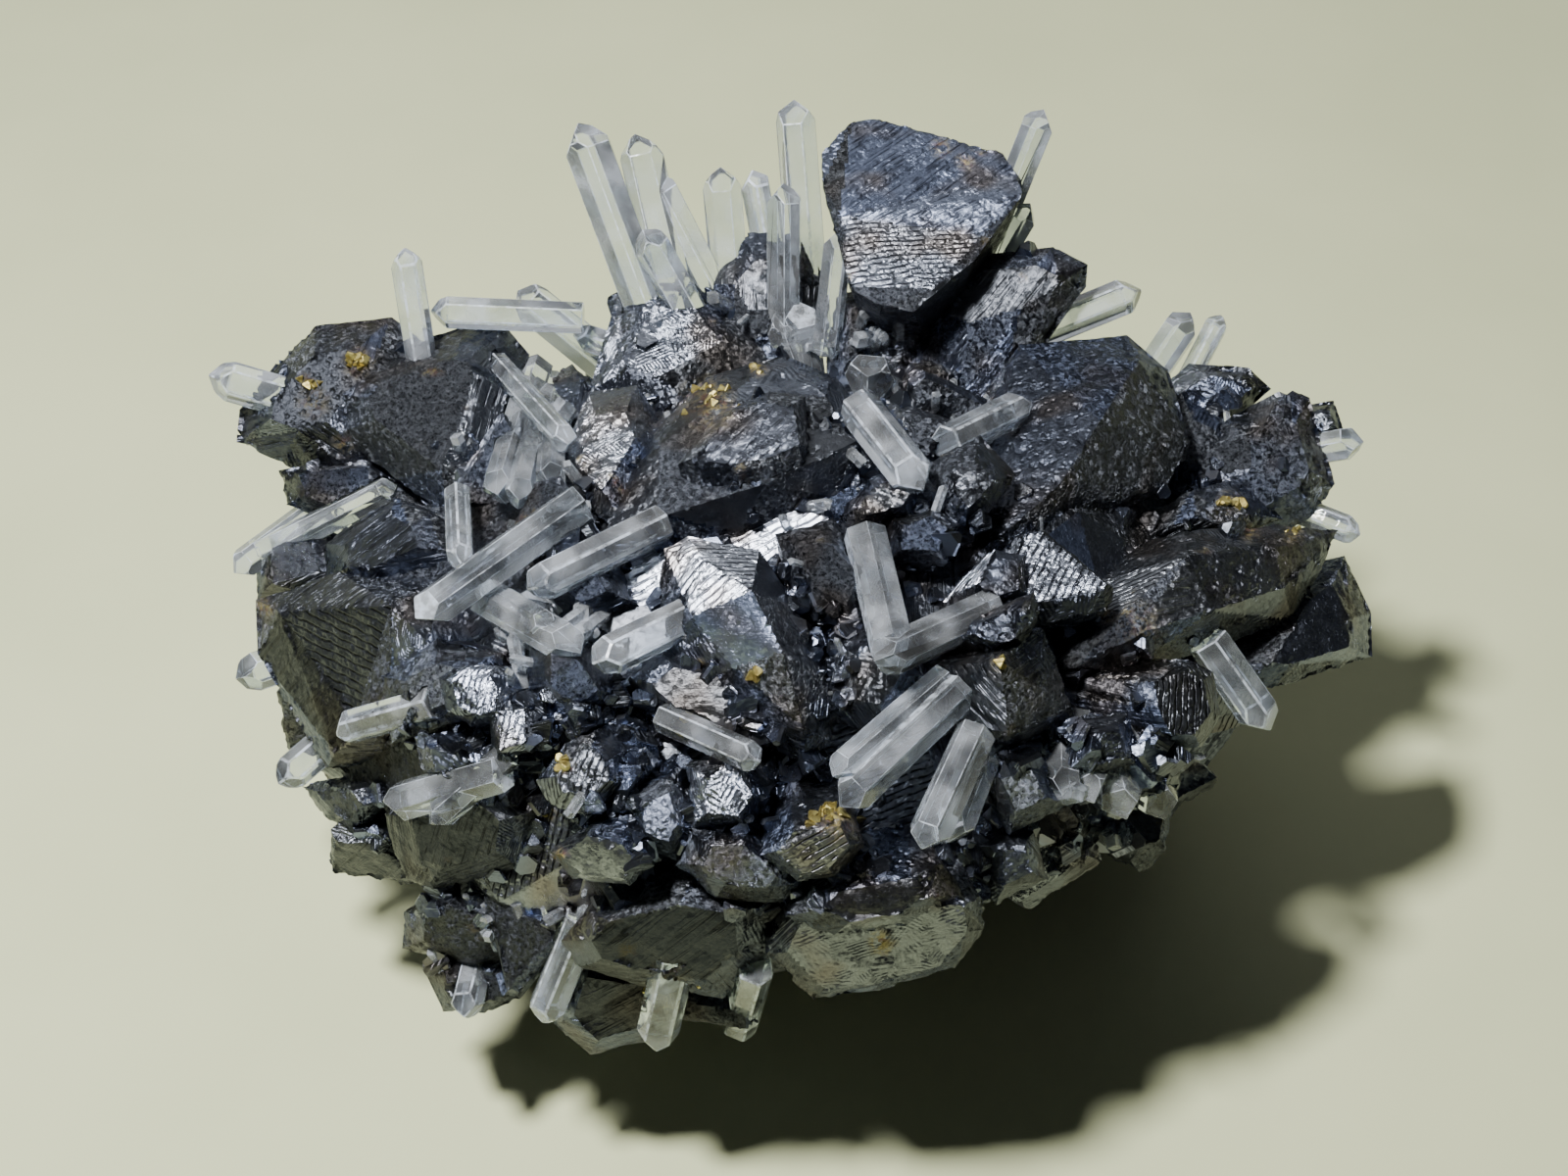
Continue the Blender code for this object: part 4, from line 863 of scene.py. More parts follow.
@dataclass
class SphaleriteMass:
    """The fused sphalerite crystals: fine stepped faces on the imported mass, in a few touching pieces."""
    cell_mm: float = 0.40
    octree_depth: int = 9
    wave_pitch_mm: float = 6.5
    ripple_pitch_mm: float = 2.6
    wave_mm: float = 0.16
    chip_mm: float = 0.42
    chip_angle: float = 28.0
    chip_spread: float = 0.45
    bite_pitch_mm: float = 1.6
    nibble_pitch_mm: float = 0.7
    steepest_lean: float = 0.85
    common_lean: float = 0.05
    common_blue: tuple = (0.35, 0.3)
    common_gloss: tuple = (0.5, 0.2)
    common_shade: tuple = (0.5, 1.1)
    common_coarse: tuple = (0.75, 1.5)
    zone_shade: tuple = (0.85, 1.15)
    origin_shift: float = 0.02
    region_mm: float = 9.0
    region_share: float = 0.55
    relief_lots: tuple = (0.07, 0.40, 0.60, 0.76)
    flat_angle: float = 1.2
    stripe_pitch_mm: float = 1.7
    stripe_mm: float = 0.11
    step_size_mm: float = 2.3
    step_mm: float = 0.26
    step_tilt: float = 0.30
    bowl_size_mm: float = 1.9
    bowl_mm: float = 0.34
    rough_pitch_mm: float = 1.1
    rough_mm: float = 0.12
    fine_pitch_mm: float = 0.6
    fine_mm: float = 0.07
    film_pitch_mm: float = 4.0
    spot_pitch_mm: float = 1.5
    stain_reach: float = 0.02
    smooth_angle: float = 32.0
    pieces: int = 6
    seed: int = 5

    def flat_faces(self) -> tuple[BVHTree, np.ndarray, np.ndarray, np.ndarray]:
        """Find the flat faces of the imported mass.

        Returns:
            A tree to find them by, and for each its normal, the way of its longest edge and its middle.
        """
        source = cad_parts[MASS_NODE].data
        bm = bmesh.new()
        bm.from_mesh(source)
        bmesh.ops.remove_doubles(bm, verts=bm.verts, dist=0.000001)
        flat = math.radians(self.flat_angle)
        bmesh.ops.dissolve_limit(bm, angle_limit=flat, verts=bm.verts, edges=bm.edges)
        bm.faces.ensure_lookup_table()
        bm.verts.ensure_lookup_table()
        places = [v.co.copy() for v in bm.verts]
        polygons = [[v.index for v in f.verts] for f in bm.faces]
        tree = BVHTree.FromPolygons(places, polygons, all_triangles=False)
        count = len(bm.faces)
        normal = np.zeros((count, 3))
        along = np.zeros((count, 3))
        centre = np.zeros((count, 3))
        for index, face in enumerate(bm.faces):
            normal[index] = face.normal
            centre[index] = face.calc_center_median()
            longest = max(face.edges, key=lambda e: e.calc_length())
            way = (longest.verts[1].co - longest.verts[0].co)
            way -= face.normal * way.dot(face.normal)
            along[index] = way.normalized() if way.length > 1e-9 else face.normal.orthogonal()
        bm.free()
        return tree, normal, along, centre

    def face_table(self) -> FaceTable:
        """Give each flat face of the mass its relief and tone.

        Returns:
            The table of the faces.
        """
        rng = np.random.default_rng(self.seed)
        tree, normal, along, centre = self.flat_faces()
        count = len(normal)
        sheet = SHEET.locate(centre)
        right = np.array((1.0, 0.0, 0.0))
        up = np.array(SHEET.up)
        facing = normal @ np.array(SHEET.toward)
        region = np.floor(centre / (self.region_mm * MM) + 0.5).astype(np.int64)
        lot = hash01(region[:, 0], region[:, 1], region[:, 2], seed=self.seed)
        own = rng.random(count)
        mixed = np.where(own < self.region_share, lot, own)
        relief = np.select(
            [mixed < lot_end for lot_end in self.relief_lots],
            [Relief.MIRROR.value, Relief.STRIATED.value, Relief.PITTED.value, Relief.MOSAIC.value],
            Relief.GRANULAR.value)
        blue = np.clip(rng.normal(*self.common_blue, count), 0.0, 1.0)
        gloss = np.clip(rng.normal(*self.common_gloss, count), 0.0, 1.0)
        # Painted shade: faces turned down are made darker, on top of their random tone.
        shade = rng.uniform(*self.common_shade, count) * np.clip(0.62 + normal[:, 2] * 0.6, 0.5, 1.0)
        coarse = rng.uniform(*self.common_coarse, count)
        flash = np.zeros(count)
        for zone in FACE_ZONES:
            inside = np.hypot(sheet[:, 0] - zone.x, sheet[:, 1] - zone.y) < zone.reach
            inside &= facing > 0.1
            relief[inside] = zone.relief.value
            blue[inside] = zone.blue
            gloss[inside] = zone.gloss
            shade[inside] = zone.shade * rng.uniform(*self.zone_shade, inside.sum())
            coarse[inside] = zone.coarse
            flash[inside] = zone.flash
            angle = math.radians(zone.lines)
            way = right * math.cos(angle) + up * math.sin(angle)
            for index in np.flatnonzero(inside):
                flat_way = way - normal[index] * way.dot(normal[index])
                along[index] = flat_way / max(np.linalg.norm(flat_way), 1e-9)
        across = np.cross(normal, along)
        origin = centre + rng.uniform(-self.origin_shift, self.origin_shift, (count, 3))
        bright = np.array((SHEET.toward + KEY_WAY).normalized())
        rise = np.maximum(normal @ bright, 0.2)
        slopes = -np.stack((along @ bright, across @ bright), axis=1) / rise[:, None]
        steepness = np.linalg.norm(slopes, axis=1)
        slopes *= (np.minimum(steepness, self.steepest_lean) / np.maximum(steepness, 1e-6))[:, None]
        lean = slopes * flash[:, None] + rng.normal(0.0, self.common_lean, (count, 2))
        return FaceTable(tree, normal, along, across, origin, relief, blue, gloss, shade, coarse, lean)

    def assign(self, table: FaceTable, places: np.ndarray) -> np.ndarray:
        """Find the nearest flat face to each place.

        Args:
            table: the flat faces.
            places: the places.

        Returns:
            One face number for each place.
        """
        found = np.zeros(len(places), dtype=np.int64)
        nearest = table.tree.find_nearest
        for index, place in enumerate(places.tolist()):
            found[index] = nearest(place)[2]
        return found

    def relief_height(self, table: FaceTable, face: np.ndarray, places: np.ndarray) -> np.ndarray:
        """Return how far each place is raised off its flat face, in metres.

        Args:
            table: the flat faces.
            face: the number of the flat face of each place.
            places: the places.

        Returns:
            One height for each place.
        """
        plane = on_face(places - table.origin[face], table.along[face], table.across[face])
        mm_places = places / MM
        kind = table.relief[face]
        wave = value_noise(mm_places / self.wave_pitch_mm, 3) * self.wave_mm
        wave += value_noise(mm_places / self.ripple_pitch_mm, 4) * self.wave_mm * 0.35
        stripe_place = np.stack((plane[:, 0] * 0.05, plane[:, 1] / self.stripe_pitch_mm), axis=1)
        stripes = value_noise(stripe_place, 7)
        stripes = np.sign(stripes) * np.minimum(np.abs(stripes) * 2.2, 1.0) * self.stripe_mm
        _, value, away = cells(plane / self.step_size_mm, 11)
        tilt = (away[:, 0] * (value - 0.5) + away[:, 1] * (hash01((value * 9999).astype(np.int64)) - 0.5))
        steps = (value - 0.5) * self.step_mm + tilt * self.step_tilt
        bowl, depth, _ = cells(plane / self.bowl_size_mm, 21)
        bowls = -np.clip(1.0 - bowl / 0.42, 0.0, 1.0) * (depth > 0.45) * self.bowl_mm
        rough = value_noise(mm_places / self.rough_pitch_mm, 31) * self.rough_mm
        rough = rough + value_noise(mm_places / self.fine_pitch_mm, 32) * self.fine_mm
        height = wave * np.where(kind == Relief.MIRROR.value, 0.30, 1.0)
        for relief, own in ((Relief.STRIATED, stripes), (Relief.MOSAIC, steps),
                            (Relief.PITTED, bowls), (Relief.GRANULAR, rough)):
            height = height + np.where(kind == relief.value, own, 0.0)
        return height * MM

    def chip(self, mesh: bpy.types.Mesh, places: np.ndarray, face: np.ndarray,
             table: FaceTable) -> np.ndarray:
        """Return how far each point near a crystal edge is worn back, in metres.

        Args:
            mesh: the remeshed mass.
            places: its points.
            face: the number of the flat face of each point.
            table: the flat faces.

        Returns:
            One depth for each point.
        """
        ends = np.zeros(len(mesh.edges) * 2, dtype=np.int64)
        mesh.edges.foreach_get("vertices", ends)
        first, second = ends[0::2], ends[1::2]
        turn = np.einsum("ij,ij->i", table.normal[face[first]], table.normal[face[second]])
        sharp = (turn < math.cos(math.radians(self.chip_angle))).astype(float)
        near = np.zeros(len(places))
        np.maximum.at(near, first, sharp)
        np.maximum.at(near, second, sharp)
        spread = near.copy()
        np.maximum.at(spread, first, near[second] * self.chip_spread)
        np.maximum.at(spread, second, near[first] * self.chip_spread)
        bites = value_noise(places / MM / self.bite_pitch_mm, 51) * 0.6
        bites = bites + value_noise(places / MM / self.nibble_pitch_mm, 52) * 0.4
        return spread * np.clip(bites + 0.25, 0.0, 1.0) * self.chip_mm * MM

    def dress(self, piece: bpy.types.Object, table: FaceTable, face: np.ndarray) -> None:
        """Write the face coordinates and the relief and tone values on a piece's corners.

        Args:
            piece: the piece.
            table: the flat faces.
            face: the number of the flat face of each polygon.
        """
        mesh = piece.data
        places, corners = mesh_arrays(mesh)
        per_polygon = np.zeros(len(mesh.polygons), dtype=np.int64)
        mesh.polygons.foreach_get("loop_total", per_polygon)
        corner_face = np.repeat(face, per_polygon)
        coarse = table.coarse[corner_face][:, None]
        offset = places[corners] - table.origin[corner_face]
        lay_coordinates(mesh, on_face(offset, table.along[corner_face], table.across[corner_face]) / coarse)
        lean = np.zeros((len(corners), 4))
        lean[:, :2] = table.lean[corner_face] * coarse
        relief = np.array(RELIEF_SHARES)[table.relief[corner_face]]
        sheet = SHEET.locate(places)
        stain = np.zeros(len(places))
        front = (places - np.array(SHEET.aim)) @ np.array(SHEET.toward) > -self.stain_reach
        for x, y, reach, strength in STAINS:
            distance = np.hypot(sheet[:, 0] - x, sheet[:, 1] - y) / reach
            stain = np.maximum(stain, strength * np.clip(1.2 - distance, 0.0, 1.0) * front)
        scattered = value_noise(places / MM / self.film_pitch_mm, 41)
        scattered = scattered + value_noise(places / MM / self.spot_pitch_mm, 42) * 0.5
        stain = np.maximum(stain, np.clip((scattered - 0.95) * 3.0, 0.0, 0.7))
        tone = np.ones((len(corners), 4))
        tone[:, 0] = table.blue[corner_face]
        tone[:, 1] = table.gloss[corner_face]
        tone[:, 2] = stain[corners]
        tone[:, 3] = table.shade[corner_face]
        write_corner_values(mesh, {"relief": relief, "tone": tone, "lean": lean})

    def build(self, table: FaceTable, material: bpy.types.Material) -> list[bpy.types.Object]:
        """Build the pieces of the mass.

        Args:
            table: its flat faces.
            material: its material.

        Returns:
            The pieces.
        """
        whole = copy_object(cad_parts[MASS_NODE], "sphalerite_whole")
        cells_across = max(whole.dimensions) / (self.cell_mm * MM)
        apply_modifier(whole, "REMESH", {
            "mode": "SHARP", "octree_depth": self.octree_depth, "sharpness": 1.0,
            "scale": cells_across / 2 ** self.octree_depth, "use_remove_disconnected": False})
        mesh = whole.data
        places, _ = mesh_arrays(mesh)
        face = self.assign(table, places)
        height = self.relief_height(table, face, places) - self.chip(mesh, places, face, table)
        places = places + table.normal[face] * height[:, None]
        places[:, 2] = np.maximum(places[:, 2], 0.0)
        mesh.vertices.foreach_set("co", places.ravel())
        mesh.update()
        LOG.info("mass has %d points", len(places))
        centres = np.zeros(len(mesh.polygons) * 3)
        mesh.polygons.foreach_get("center", centres)
        centres = centres.reshape(-1, 3)
        polygon_face = self.assign(table, centres)
        self.dress(whole, table, polygon_face)
        mesh.polygons.foreach_set("use_smooth", np.ones(len(mesh.polygons), dtype=bool))
        mesh.set_sharp_from_angle(angle=math.radians(self.smooth_angle))
        mesh.materials.append(material)
        return self.part(whole, centres)

    def part(self, whole: bpy.types.Object, centres: np.ndarray) -> list[bpy.types.Object]:
        """Part the mass into touching pieces of like size, by bearing round its middle.

        Args:
            whole: the mass.
            centres: the middle of each of its polygons.

        Returns:
            The pieces.
        """
        bearing = np.arctan2(centres[:, 1], centres[:, 0])
        edges = np.quantile(bearing, np.linspace(0.0, 1.0, self.pieces + 1)[1:-1])
        sector = np.searchsorted(edges, bearing)
        made = []
        for number in range(self.pieces):
            piece = whole.copy()
            piece.data = whole.data.copy()
            piece.name = f"sphalerite_crystals_{number + 1}"
            piece.data.name = piece.name
            bpy.context.scene.collection.objects.link(piece)
            bm = bmesh.new()
            bm.from_mesh(piece.data)
            bm.faces.ensure_lookup_table()
            drop = [bm.faces[i] for i in np.flatnonzero(sector != number).tolist()]
            bmesh.ops.delete(bm, geom=drop, context="FACES")
            bm.to_mesh(piece.data)
            bm.free()
            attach(piece, BODY)
            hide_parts(MASS_NODE)
            made.append(piece)
        bpy.data.objects.remove(whole, do_unlink=True)
        return made


@dataclass
class QuartzGrowth:
    """The quartz prisms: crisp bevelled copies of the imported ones, thick enough to close their sockets."""
    fatten_mm: float = 0.26
    bevel_mm: float = 0.16

    def build(self, material: bpy.types.Material) -> list[bpy.types.Object]:
        """Build one piece for each quartz node.

        Args:
            material: the quartz.

        Returns:
            The pieces.
        """
        made = []
        for name, node in sorted(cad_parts.items()):
            if name == MASS_NODE:
                continue
            piece = copy_object(node, f"{name}_clear")
            self.shape(piece)
            self.rule(piece)
            self.mark_rims(piece)
            piece.data.materials.append(material)
            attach(piece, BODY)
            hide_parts(name)
            made.append(piece)
        return made

    def shape(self, piece: bpy.types.Object) -> None:
        """Fatten a prism and soften its edges.

        Args:
            piece: the prism.
        """
        bm = bmesh.new()
        bm.from_mesh(piece.data)
        bmesh.ops.dissolve_limit(bm, angle_limit=math.radians(1.0), verts=bm.verts, edges=bm.edges)
        bm.normal_update()
        for vert in bm.verts:
            faces = {tuple(round(c, 2) for c in f.normal): f.normal for f in vert.link_faces}
            way = sum(faces.values(), Vector())
            if way.length > 0.3:
                vert.co += way.normalized() * self.fatten_mm * MM
        bm.to_mesh(piece.data)
        bm.free()
        apply_modifier(piece, "BEVEL", {
            "width": self.bevel_mm * MM, "segments": 1, "limit_method": "ANGLE",
            "angle_limit": math.radians(20.0)})

    def rule(self, piece: bpy.types.Object) -> None:
        """Lay coordinates on a prism's faces: along its own length first, across it second.

        Args:
            piece: the prism.
        """
        mesh = piece.data
        places, corners = mesh_arrays(mesh)
        middle = places.mean(axis=0)
        _, _, axes = np.linalg.svd(places - middle, full_matrices=False)
        u = (places - middle) @ axes[0] / MM
        v = (places - middle) @ axes[1] / MM
        lay_coordinates(mesh, np.stack((u[corners], v[corners]), axis=1))

    def mark_rims(self, piece: bpy.types.Object) -> None:
        """Mark the narrow faces along a prism's edges, where a painted highlight whitens the quartz as if
        they caught the light.

        Args:
            piece: the prism.
        """
        places, _ = mesh_arrays(piece.data)
        narrow = self.bevel_mm * MM * 2.2
        rim = np.zeros(len(piece.data.polygons))
        for index, polygon in enumerate(piece.data.polygons):
            ring = places[list(polygon.vertices)]
            lengths = np.linalg.norm(ring - np.roll(ring, 1, axis=0), axis=1)
            rim[index] = np.sum(lengths < narrow) >= 2
        write_rims(piece.data, rim)


@dataclass(frozen=True)
class BrassFinish:
    """Chalcopyrite, grown as grains and left as found: brass-yellow metal with a slight brown tarnish."""
    bright: str = "#bdb272"
    tarnish: str = "#8a7b42"

    def build(self) -> bpy.types.Material:
        """Build the material.

        Returns:
            The material.
        """
        material, tree, shader = new_material("chalcopyrite_grains")
        place = add_node(tree, "ShaderNodeTexCoord").outputs["Object"]
        patch = noise(tree, place, 1400.0, 2.0, 0.6)
        colour = ramp(tree, patch, [(0.4, linear(self.tarnish)), (0.6, linear(self.bright))])
        bump = add_node(tree, "ShaderNodeBump", inputs={
            "Strength": 0.6, "Distance": 0.0001, "Height": patch})
        tree.links.new(colour, shader.inputs["Base Color"])
        shader.inputs["Metallic"].default_value = 0.7
        shader.inputs["Roughness"].default_value = 0.4
        tree.links.new(bump.outputs[0], shader.inputs["Normal"])
        return material


class Small(Enum):
    """The kinds of small crystals that grow on the mass."""
    SPHALERITE = "sphalerite"
    QUARTZ = "quartz"
    BRASS = "chalcopyrite"


@dataclass(frozen=True)
class Growth:
    """One patch of small crystals: where the sheet shows it, what grows there, how much and how large."""
    x: float
    y: float
    reach_x: float
    reach_y: float
    kind: Small
    count: int
    small_mm: float
    large_mm: float


GROWTHS = (
    Growth(545, 420, 70, 90, Small.QUARTZ, 84, 2.6, 7.5),
    Growth(560, 640, 70, 45, Small.QUARTZ, 55, 2.0, 5.6),
    Growth(540, 520, 50, 40, Small.QUARTZ, 29, 2.0, 4.4),
    Growth(850, 335, 90, 40, Small.QUARTZ, 73, 2.0, 5.6),
    Growth(700, 300, 80, 40, Small.QUARTZ, 48, 2.6, 6.2),
    Growth(900, 420, 60, 50, Small.QUARTZ, 29, 1.3, 3.8),
    Growth(1010, 430, 40, 40, Small.QUARTZ, 18, 1.3, 3.8),
    Growth(520, 930, 62, 34, Small.QUARTZ, 55, 1.6, 4.0),
    Growth(430, 840, 45, 40, Small.QUARTZ, 26, 2.0, 4.4),
    Growth(1150, 810, 60, 40, Small.QUARTZ, 48, 2.6, 5.6),
    Growth(900, 650, 60, 40, Small.QUARTZ, 22, 1.3, 3.8),
    Growth(930, 780, 60, 60, Small.QUARTZ, 29, 1.3, 4.4),
    Growth(1240, 395, 50, 40, Small.QUARTZ, 18, 1.3, 3.1),
    Growth(445, 320, 60, 30, Small.QUARTZ, 29, 1.3, 4.4),
    Growth(610, 360, 40, 40, Small.QUARTZ, 20, 1.3, 4.4),
    Growth(470, 1010, 50, 30, Small.QUARTZ, 18, 1.3, 3.8),
    Growth(1100, 790, 110, 60, Small.SPHALERITE, 320, 1.5, 3.6),
    Growth(640, 740, 160, 70, Small.SPHALERITE, 320, 1.2, 3.0),
    Growth(430, 880, 80, 110, Small.SPHALERITE, 180, 1.2, 3.0),
    Growth(860, 640, 70, 90, Small.SPHALERITE, 160, 0.9, 2.2),
    Growth(560, 850, 120, 80, Small.SPHALERITE, 180, 1.0, 2.6),
    Growth(370, 370, 80, 60, Small.SPHALERITE, 120, 0.9, 2.4),
    Growth(1290, 460, 90, 90, Small.SPHALERITE, 180, 1.0, 2.6),
    Growth(700, 330, 110, 70, Small.SPHALERITE, 140, 1.0, 2.4),
    Growth(880, 400, 60, 60, Small.SPHALERITE, 80, 0.9, 2.2),
    Growth(900, 880, 160, 60, Small.SPHALERITE, 140, 1.0, 2.4),
    Growth(365, 370, 14, 6, Small.BRASS, 10, 0.5, 1.3),
    Growth(313, 388, 8, 6, Small.BRASS, 5, 0.4, 1.0),
    Growth(775, 378, 6, 5, Small.BRASS, 4, 0.5, 1.0),
    Growth(725, 400, 22, 16, Small.BRASS, 12, 0.4, 1.0),
    Growth(768, 690, 6, 5, Small.BRASS, 3, 0.6, 1.2),
    Growth(1020, 675, 6, 6, Small.BRASS, 3, 0.5, 1.0),
    Growth(1258, 512, 16, 5, Small.BRASS, 10, 0.5, 1.2),
    Growth(1322, 545, 8, 5, Small.BRASS, 4, 0.5, 1.0),
    Growth(850, 832, 30, 12, Small.BRASS, 16, 0.5, 1.3),
    Growth(575, 782, 10, 8, Small.BRASS, 5, 0.5, 1.0),
    Growth(700, 742, 6, 6, Small.BRASS, 4, 0.5, 1.0),
    Growth(680, 1010, 30, 5, Small.BRASS, 8, 0.4, 0.9),
    Growth(560, 830, 6, 6, Small.BRASS, 3, 0.4, 0.9),
)


@dataclass
class Druse:
    """The small crystals on the mass: sphalerite grains, thin quartz needles and brass-yellow grains."""
    hidden_grains: int = 600
    hidden_needles: int = 90
    tries_each: int = 3
    hidden_grain_mm: tuple = (0.9, 2.8)
    hidden_needle_mm: tuple = (1.2, 3.6)
    grain_shapes: int = 5
    needle_shapes: int = 4
    brass_shapes: int = 2
    needle_painted_highlight: float = 0.5
    spread: float = 0.55
    lowest_mm: float = 4.0
    probes: int = 7
    probe_mm: float = 6.0
    probe_spread: float = 0.6
    seed: int = 23
    brass_finish: BrassFinish = field(default_factory=BrassFinish)

    def bisect(self, normal: Vector, distance: float) -> None:
        """Cut the mesh in edit mode by a plane and close the cut.

        Args:
            normal: the way out of the cut face.
            distance: how far the plane is from the origin.
        """
        bpy.ops.mesh.select_all(action="SELECT")
        bpy.ops.mesh.bisect(plane_co=normal.normalized() * distance, plane_no=normal.normalized(),
                            use_fill=True, clear_outer=True)

    def grain_template(self, number: int) -> bpy.types.Object:
        """Model one sphalerite grain, about one unit across: a tetrahedron with its corners cut.

        Args:
            number: which of the grains it is.

        Returns:
            The grain.
        """
        rng = np.random.default_rng(self.seed + number)
        bpy.ops.mesh.primitive_cube_add(size=1.0)
        grain = bpy.context.active_object
        bpy.ops.object.mode_set(mode="EDIT")
        for signs in ((1, 1, 1), (1, -1, -1), (-1, 1, -1), (-1, -1, 1)):
            self.bisect(Vector(signs), rng.uniform(0.26, 0.40))
            self.bisect(-Vector(signs), rng.uniform(0.42, 0.75))
        bpy.ops.object.mode_set(mode="OBJECT")
        return grain

    def needle_template(self, number: int) -> bpy.types.Object:
        """Model one quartz needle, one unit long and standing on the origin.

        Args:
            number: which of the needles it is.

        Returns:
            The needle.
        """
        rng = np.random.default_rng(self.seed + 50 + number)
        bpy.ops.mesh.primitive_cylinder_add(vertices=6, radius=rng.uniform(0.13, 0.2), depth=1.2,
                                            location=(0.0, 0.0, 0.4))
        needle = bpy.context.active_object
        bpy.ops.object.transform_apply(location=True, rotation=False, scale=False)
        bpy.ops.object.mode_set(mode="EDIT")
        for side in range(6):
            angle = (side + 0.5) * math.tau / 6.0
            slope = Vector((math.cos(angle), math.sin(angle), 0.8))
            lift = rng.uniform(0.58, 0.62) if side % 2 else rng.uniform(0.62, 0.68)
            self.bisect(slope, lift)
        bpy.ops.object.mode_set(mode="OBJECT")
        return needle

    def spots(self, growth: Growth, table: FaceTable, rng: np.random.Generator) -> list:
        """Find places on the mass, seen by the eye, for one patch of small crystals.

        Args:
            growth: the patch.
            table: the flat faces of the mass.
            rng: the random numbers.

        Returns:
            (place, normal) pairs.
        """
        found = []
        eye = SHEET.aim + SHEET.toward * SHEET.distance
        right = Vector((1.0, 0.0, 0.0))
        for _ in range(growth.count):
            dx, dy = rng.normal(0.0, self.spread, 2)
            unit = SHEET.unit_mm * MM
            x = (growth.x + dx * growth.reach_x - SHEET.aim_xy[0]) * unit
            y = (SHEET.aim_xy[1] - growth.y - dy * growth.reach_y) * unit
            way = (SHEET.aim + right * x + SHEET.up * y - eye).normalized()
            place, normal, _, _ = table.tree.ray_cast(eye, way)
            if place is None:
                continue
            if growth.kind is not Small.BRASS and not self.in_hollow(place, normal, table, rng):
                continue
            found.append((place, normal))
        return found

    def in_hollow(self, place: Vector, normal: Vector, table: FaceTable, rng: np.random.Generator) -> bool:
        """Tell whether a place lies in a hollow of the mass.

        Args:
            place: the place.
            normal: the way out of the mass there.
            table: the flat faces of the mass.
            rng: the random numbers.

        Returns:
            Whether it does.
        """
        hits = 0
        for _ in range(self.probes):
            probe = (normal + Vector(rng.normal(0.0, self.probe_spread, 3))).normalized()
            hit = table.tree.ray_cast(place + normal * 0.3 * MM, probe, self.probe_mm * MM)[0]
            hits += hit is not None
        return hits * 3 >= self.probes

    def hidden_spots(self, count: int, table: FaceTable, rng: np.random.Generator) -> list:
        """Find places in the hollows of the mass, all round it.

        Args:
            count: how many rays are tried.
            table: the flat faces of the mass.
            rng: the random numbers.

        Returns:
            (place, normal) pairs.
        """
        found = []
        middle = Vector((0.0, 0.0, 0.03))
        for _ in range(count):
            way = Vector(rng.normal(0.0, 1.0, 3)).normalized()
            place, normal, _, _ = table.tree.ray_cast(middle + way * 0.2, -way)
            if place is None or place.z < self.lowest_mm * MM:
                continue
            if self.in_hollow(place, normal, table, rng):
                found.append((place, normal))
        return found

    def scatter(self, name: str, templates: list, spots: list, rng: np.random.Generator,
                lean: float, sink: float) -> bpy.types.Object:
        """Copy templates to places and join them in one piece.

        Args:
            name: the piece's name.
            templates: the templates to draw from.
            spots: (place, normal, size in metres) triples.
            rng: the random numbers.
            lean: how far a copy's axis strays from the normal.
            sink: how deep a copy stands in the mass, as a share of its size.

        Returns:
            The piece.
        """
        shapes = []
        for template in templates:
            places, _ = mesh_arrays(template.data)
            polygons = [list(p.vertices) for p in template.data.polygons]
            shapes.append((places, polygons))
            bpy.data.objects.remove(template, do_unlink=True)
        points = []
        polygons = []
        start = 0
        for place, normal, size in spots:
            shape, faces = shapes[int(rng.integers(len(shapes)))]
            axis = (normal + Vector(rng.normal(0.0, lean, 3))).normalized()
            turn = axis.to_track_quat("Z", "Y") @ Quaternion((0, 0, 1), rng.uniform(0.0, math.tau))
            matrix = np.array(turn.to_matrix()) * size
            points.append(shape @ matrix.T + np.array(place - axis * size * sink))
            polygons += [[start + i for i in f] for f in faces]
            start += len(shape)
        mesh = bpy.data.meshes.new(name)
        mesh.from_pydata(np.concatenate(points).tolist(), [], polygons)
        mesh.update()
        piece = bpy.data.objects.new(name, mesh)
        bpy.context.scene.collection.objects.link(piece)
        return piece

    def dress_grains(self, piece: bpy.types.Object, rng: np.random.Generator) -> None:
        """Write face coordinates, relief and tone on the sphalerite grains.

        Args:
            piece: the grains.
            rng: the random numbers.
        """
        mesh = piece.data
        places, corners = mesh_arrays(mesh)
        count = len(mesh.polygons)
        totals = np.zeros(count, dtype=np.int64)
        mesh.polygons.foreach_get("loop_total", totals)
        along = np.zeros((count, 3))
        across = np.zeros((count, 3))
        for index, polygon in enumerate(mesh.polygons):
            first, second = polygon.vertices[0], polygon.vertices[1]
            way = places[second] - places[first]
            along[index] = way / max(np.linalg.norm(way), 1e-9)
            across[index] = np.cross(np.array(polygon.normal), along[index])
        lot = np.repeat(np.arange(count), totals)
        shift = rng.uniform(-20.0, 20.0, (count, 2))
        lay_coordinates(mesh, on_face(places[corners], along[lot], across[lot]) + shift[lot])
        draw = rng.random((count, 3))
        relief = np.zeros((len(corners), 4))
        relief[:, 0] = np.where(draw[lot, 0] < 0.45, 0.8, 0.0)
        relief[:, 3] = np.where(draw[lot, 0] > 0.8, 0.6, 0.05)
        tone = np.ones((len(corners), 4))
        tone[:, 0] = draw[lot, 1] * 0.8
        tone[:, 1] = 0.3 + draw[lot, 2] * 0.6
        tone[:, 2] = 0.0
        tone[:, 3] = 0.5 + draw[lot, 1] * 0.5
        write_corner_values(mesh, {"relief": relief, "tone": tone})

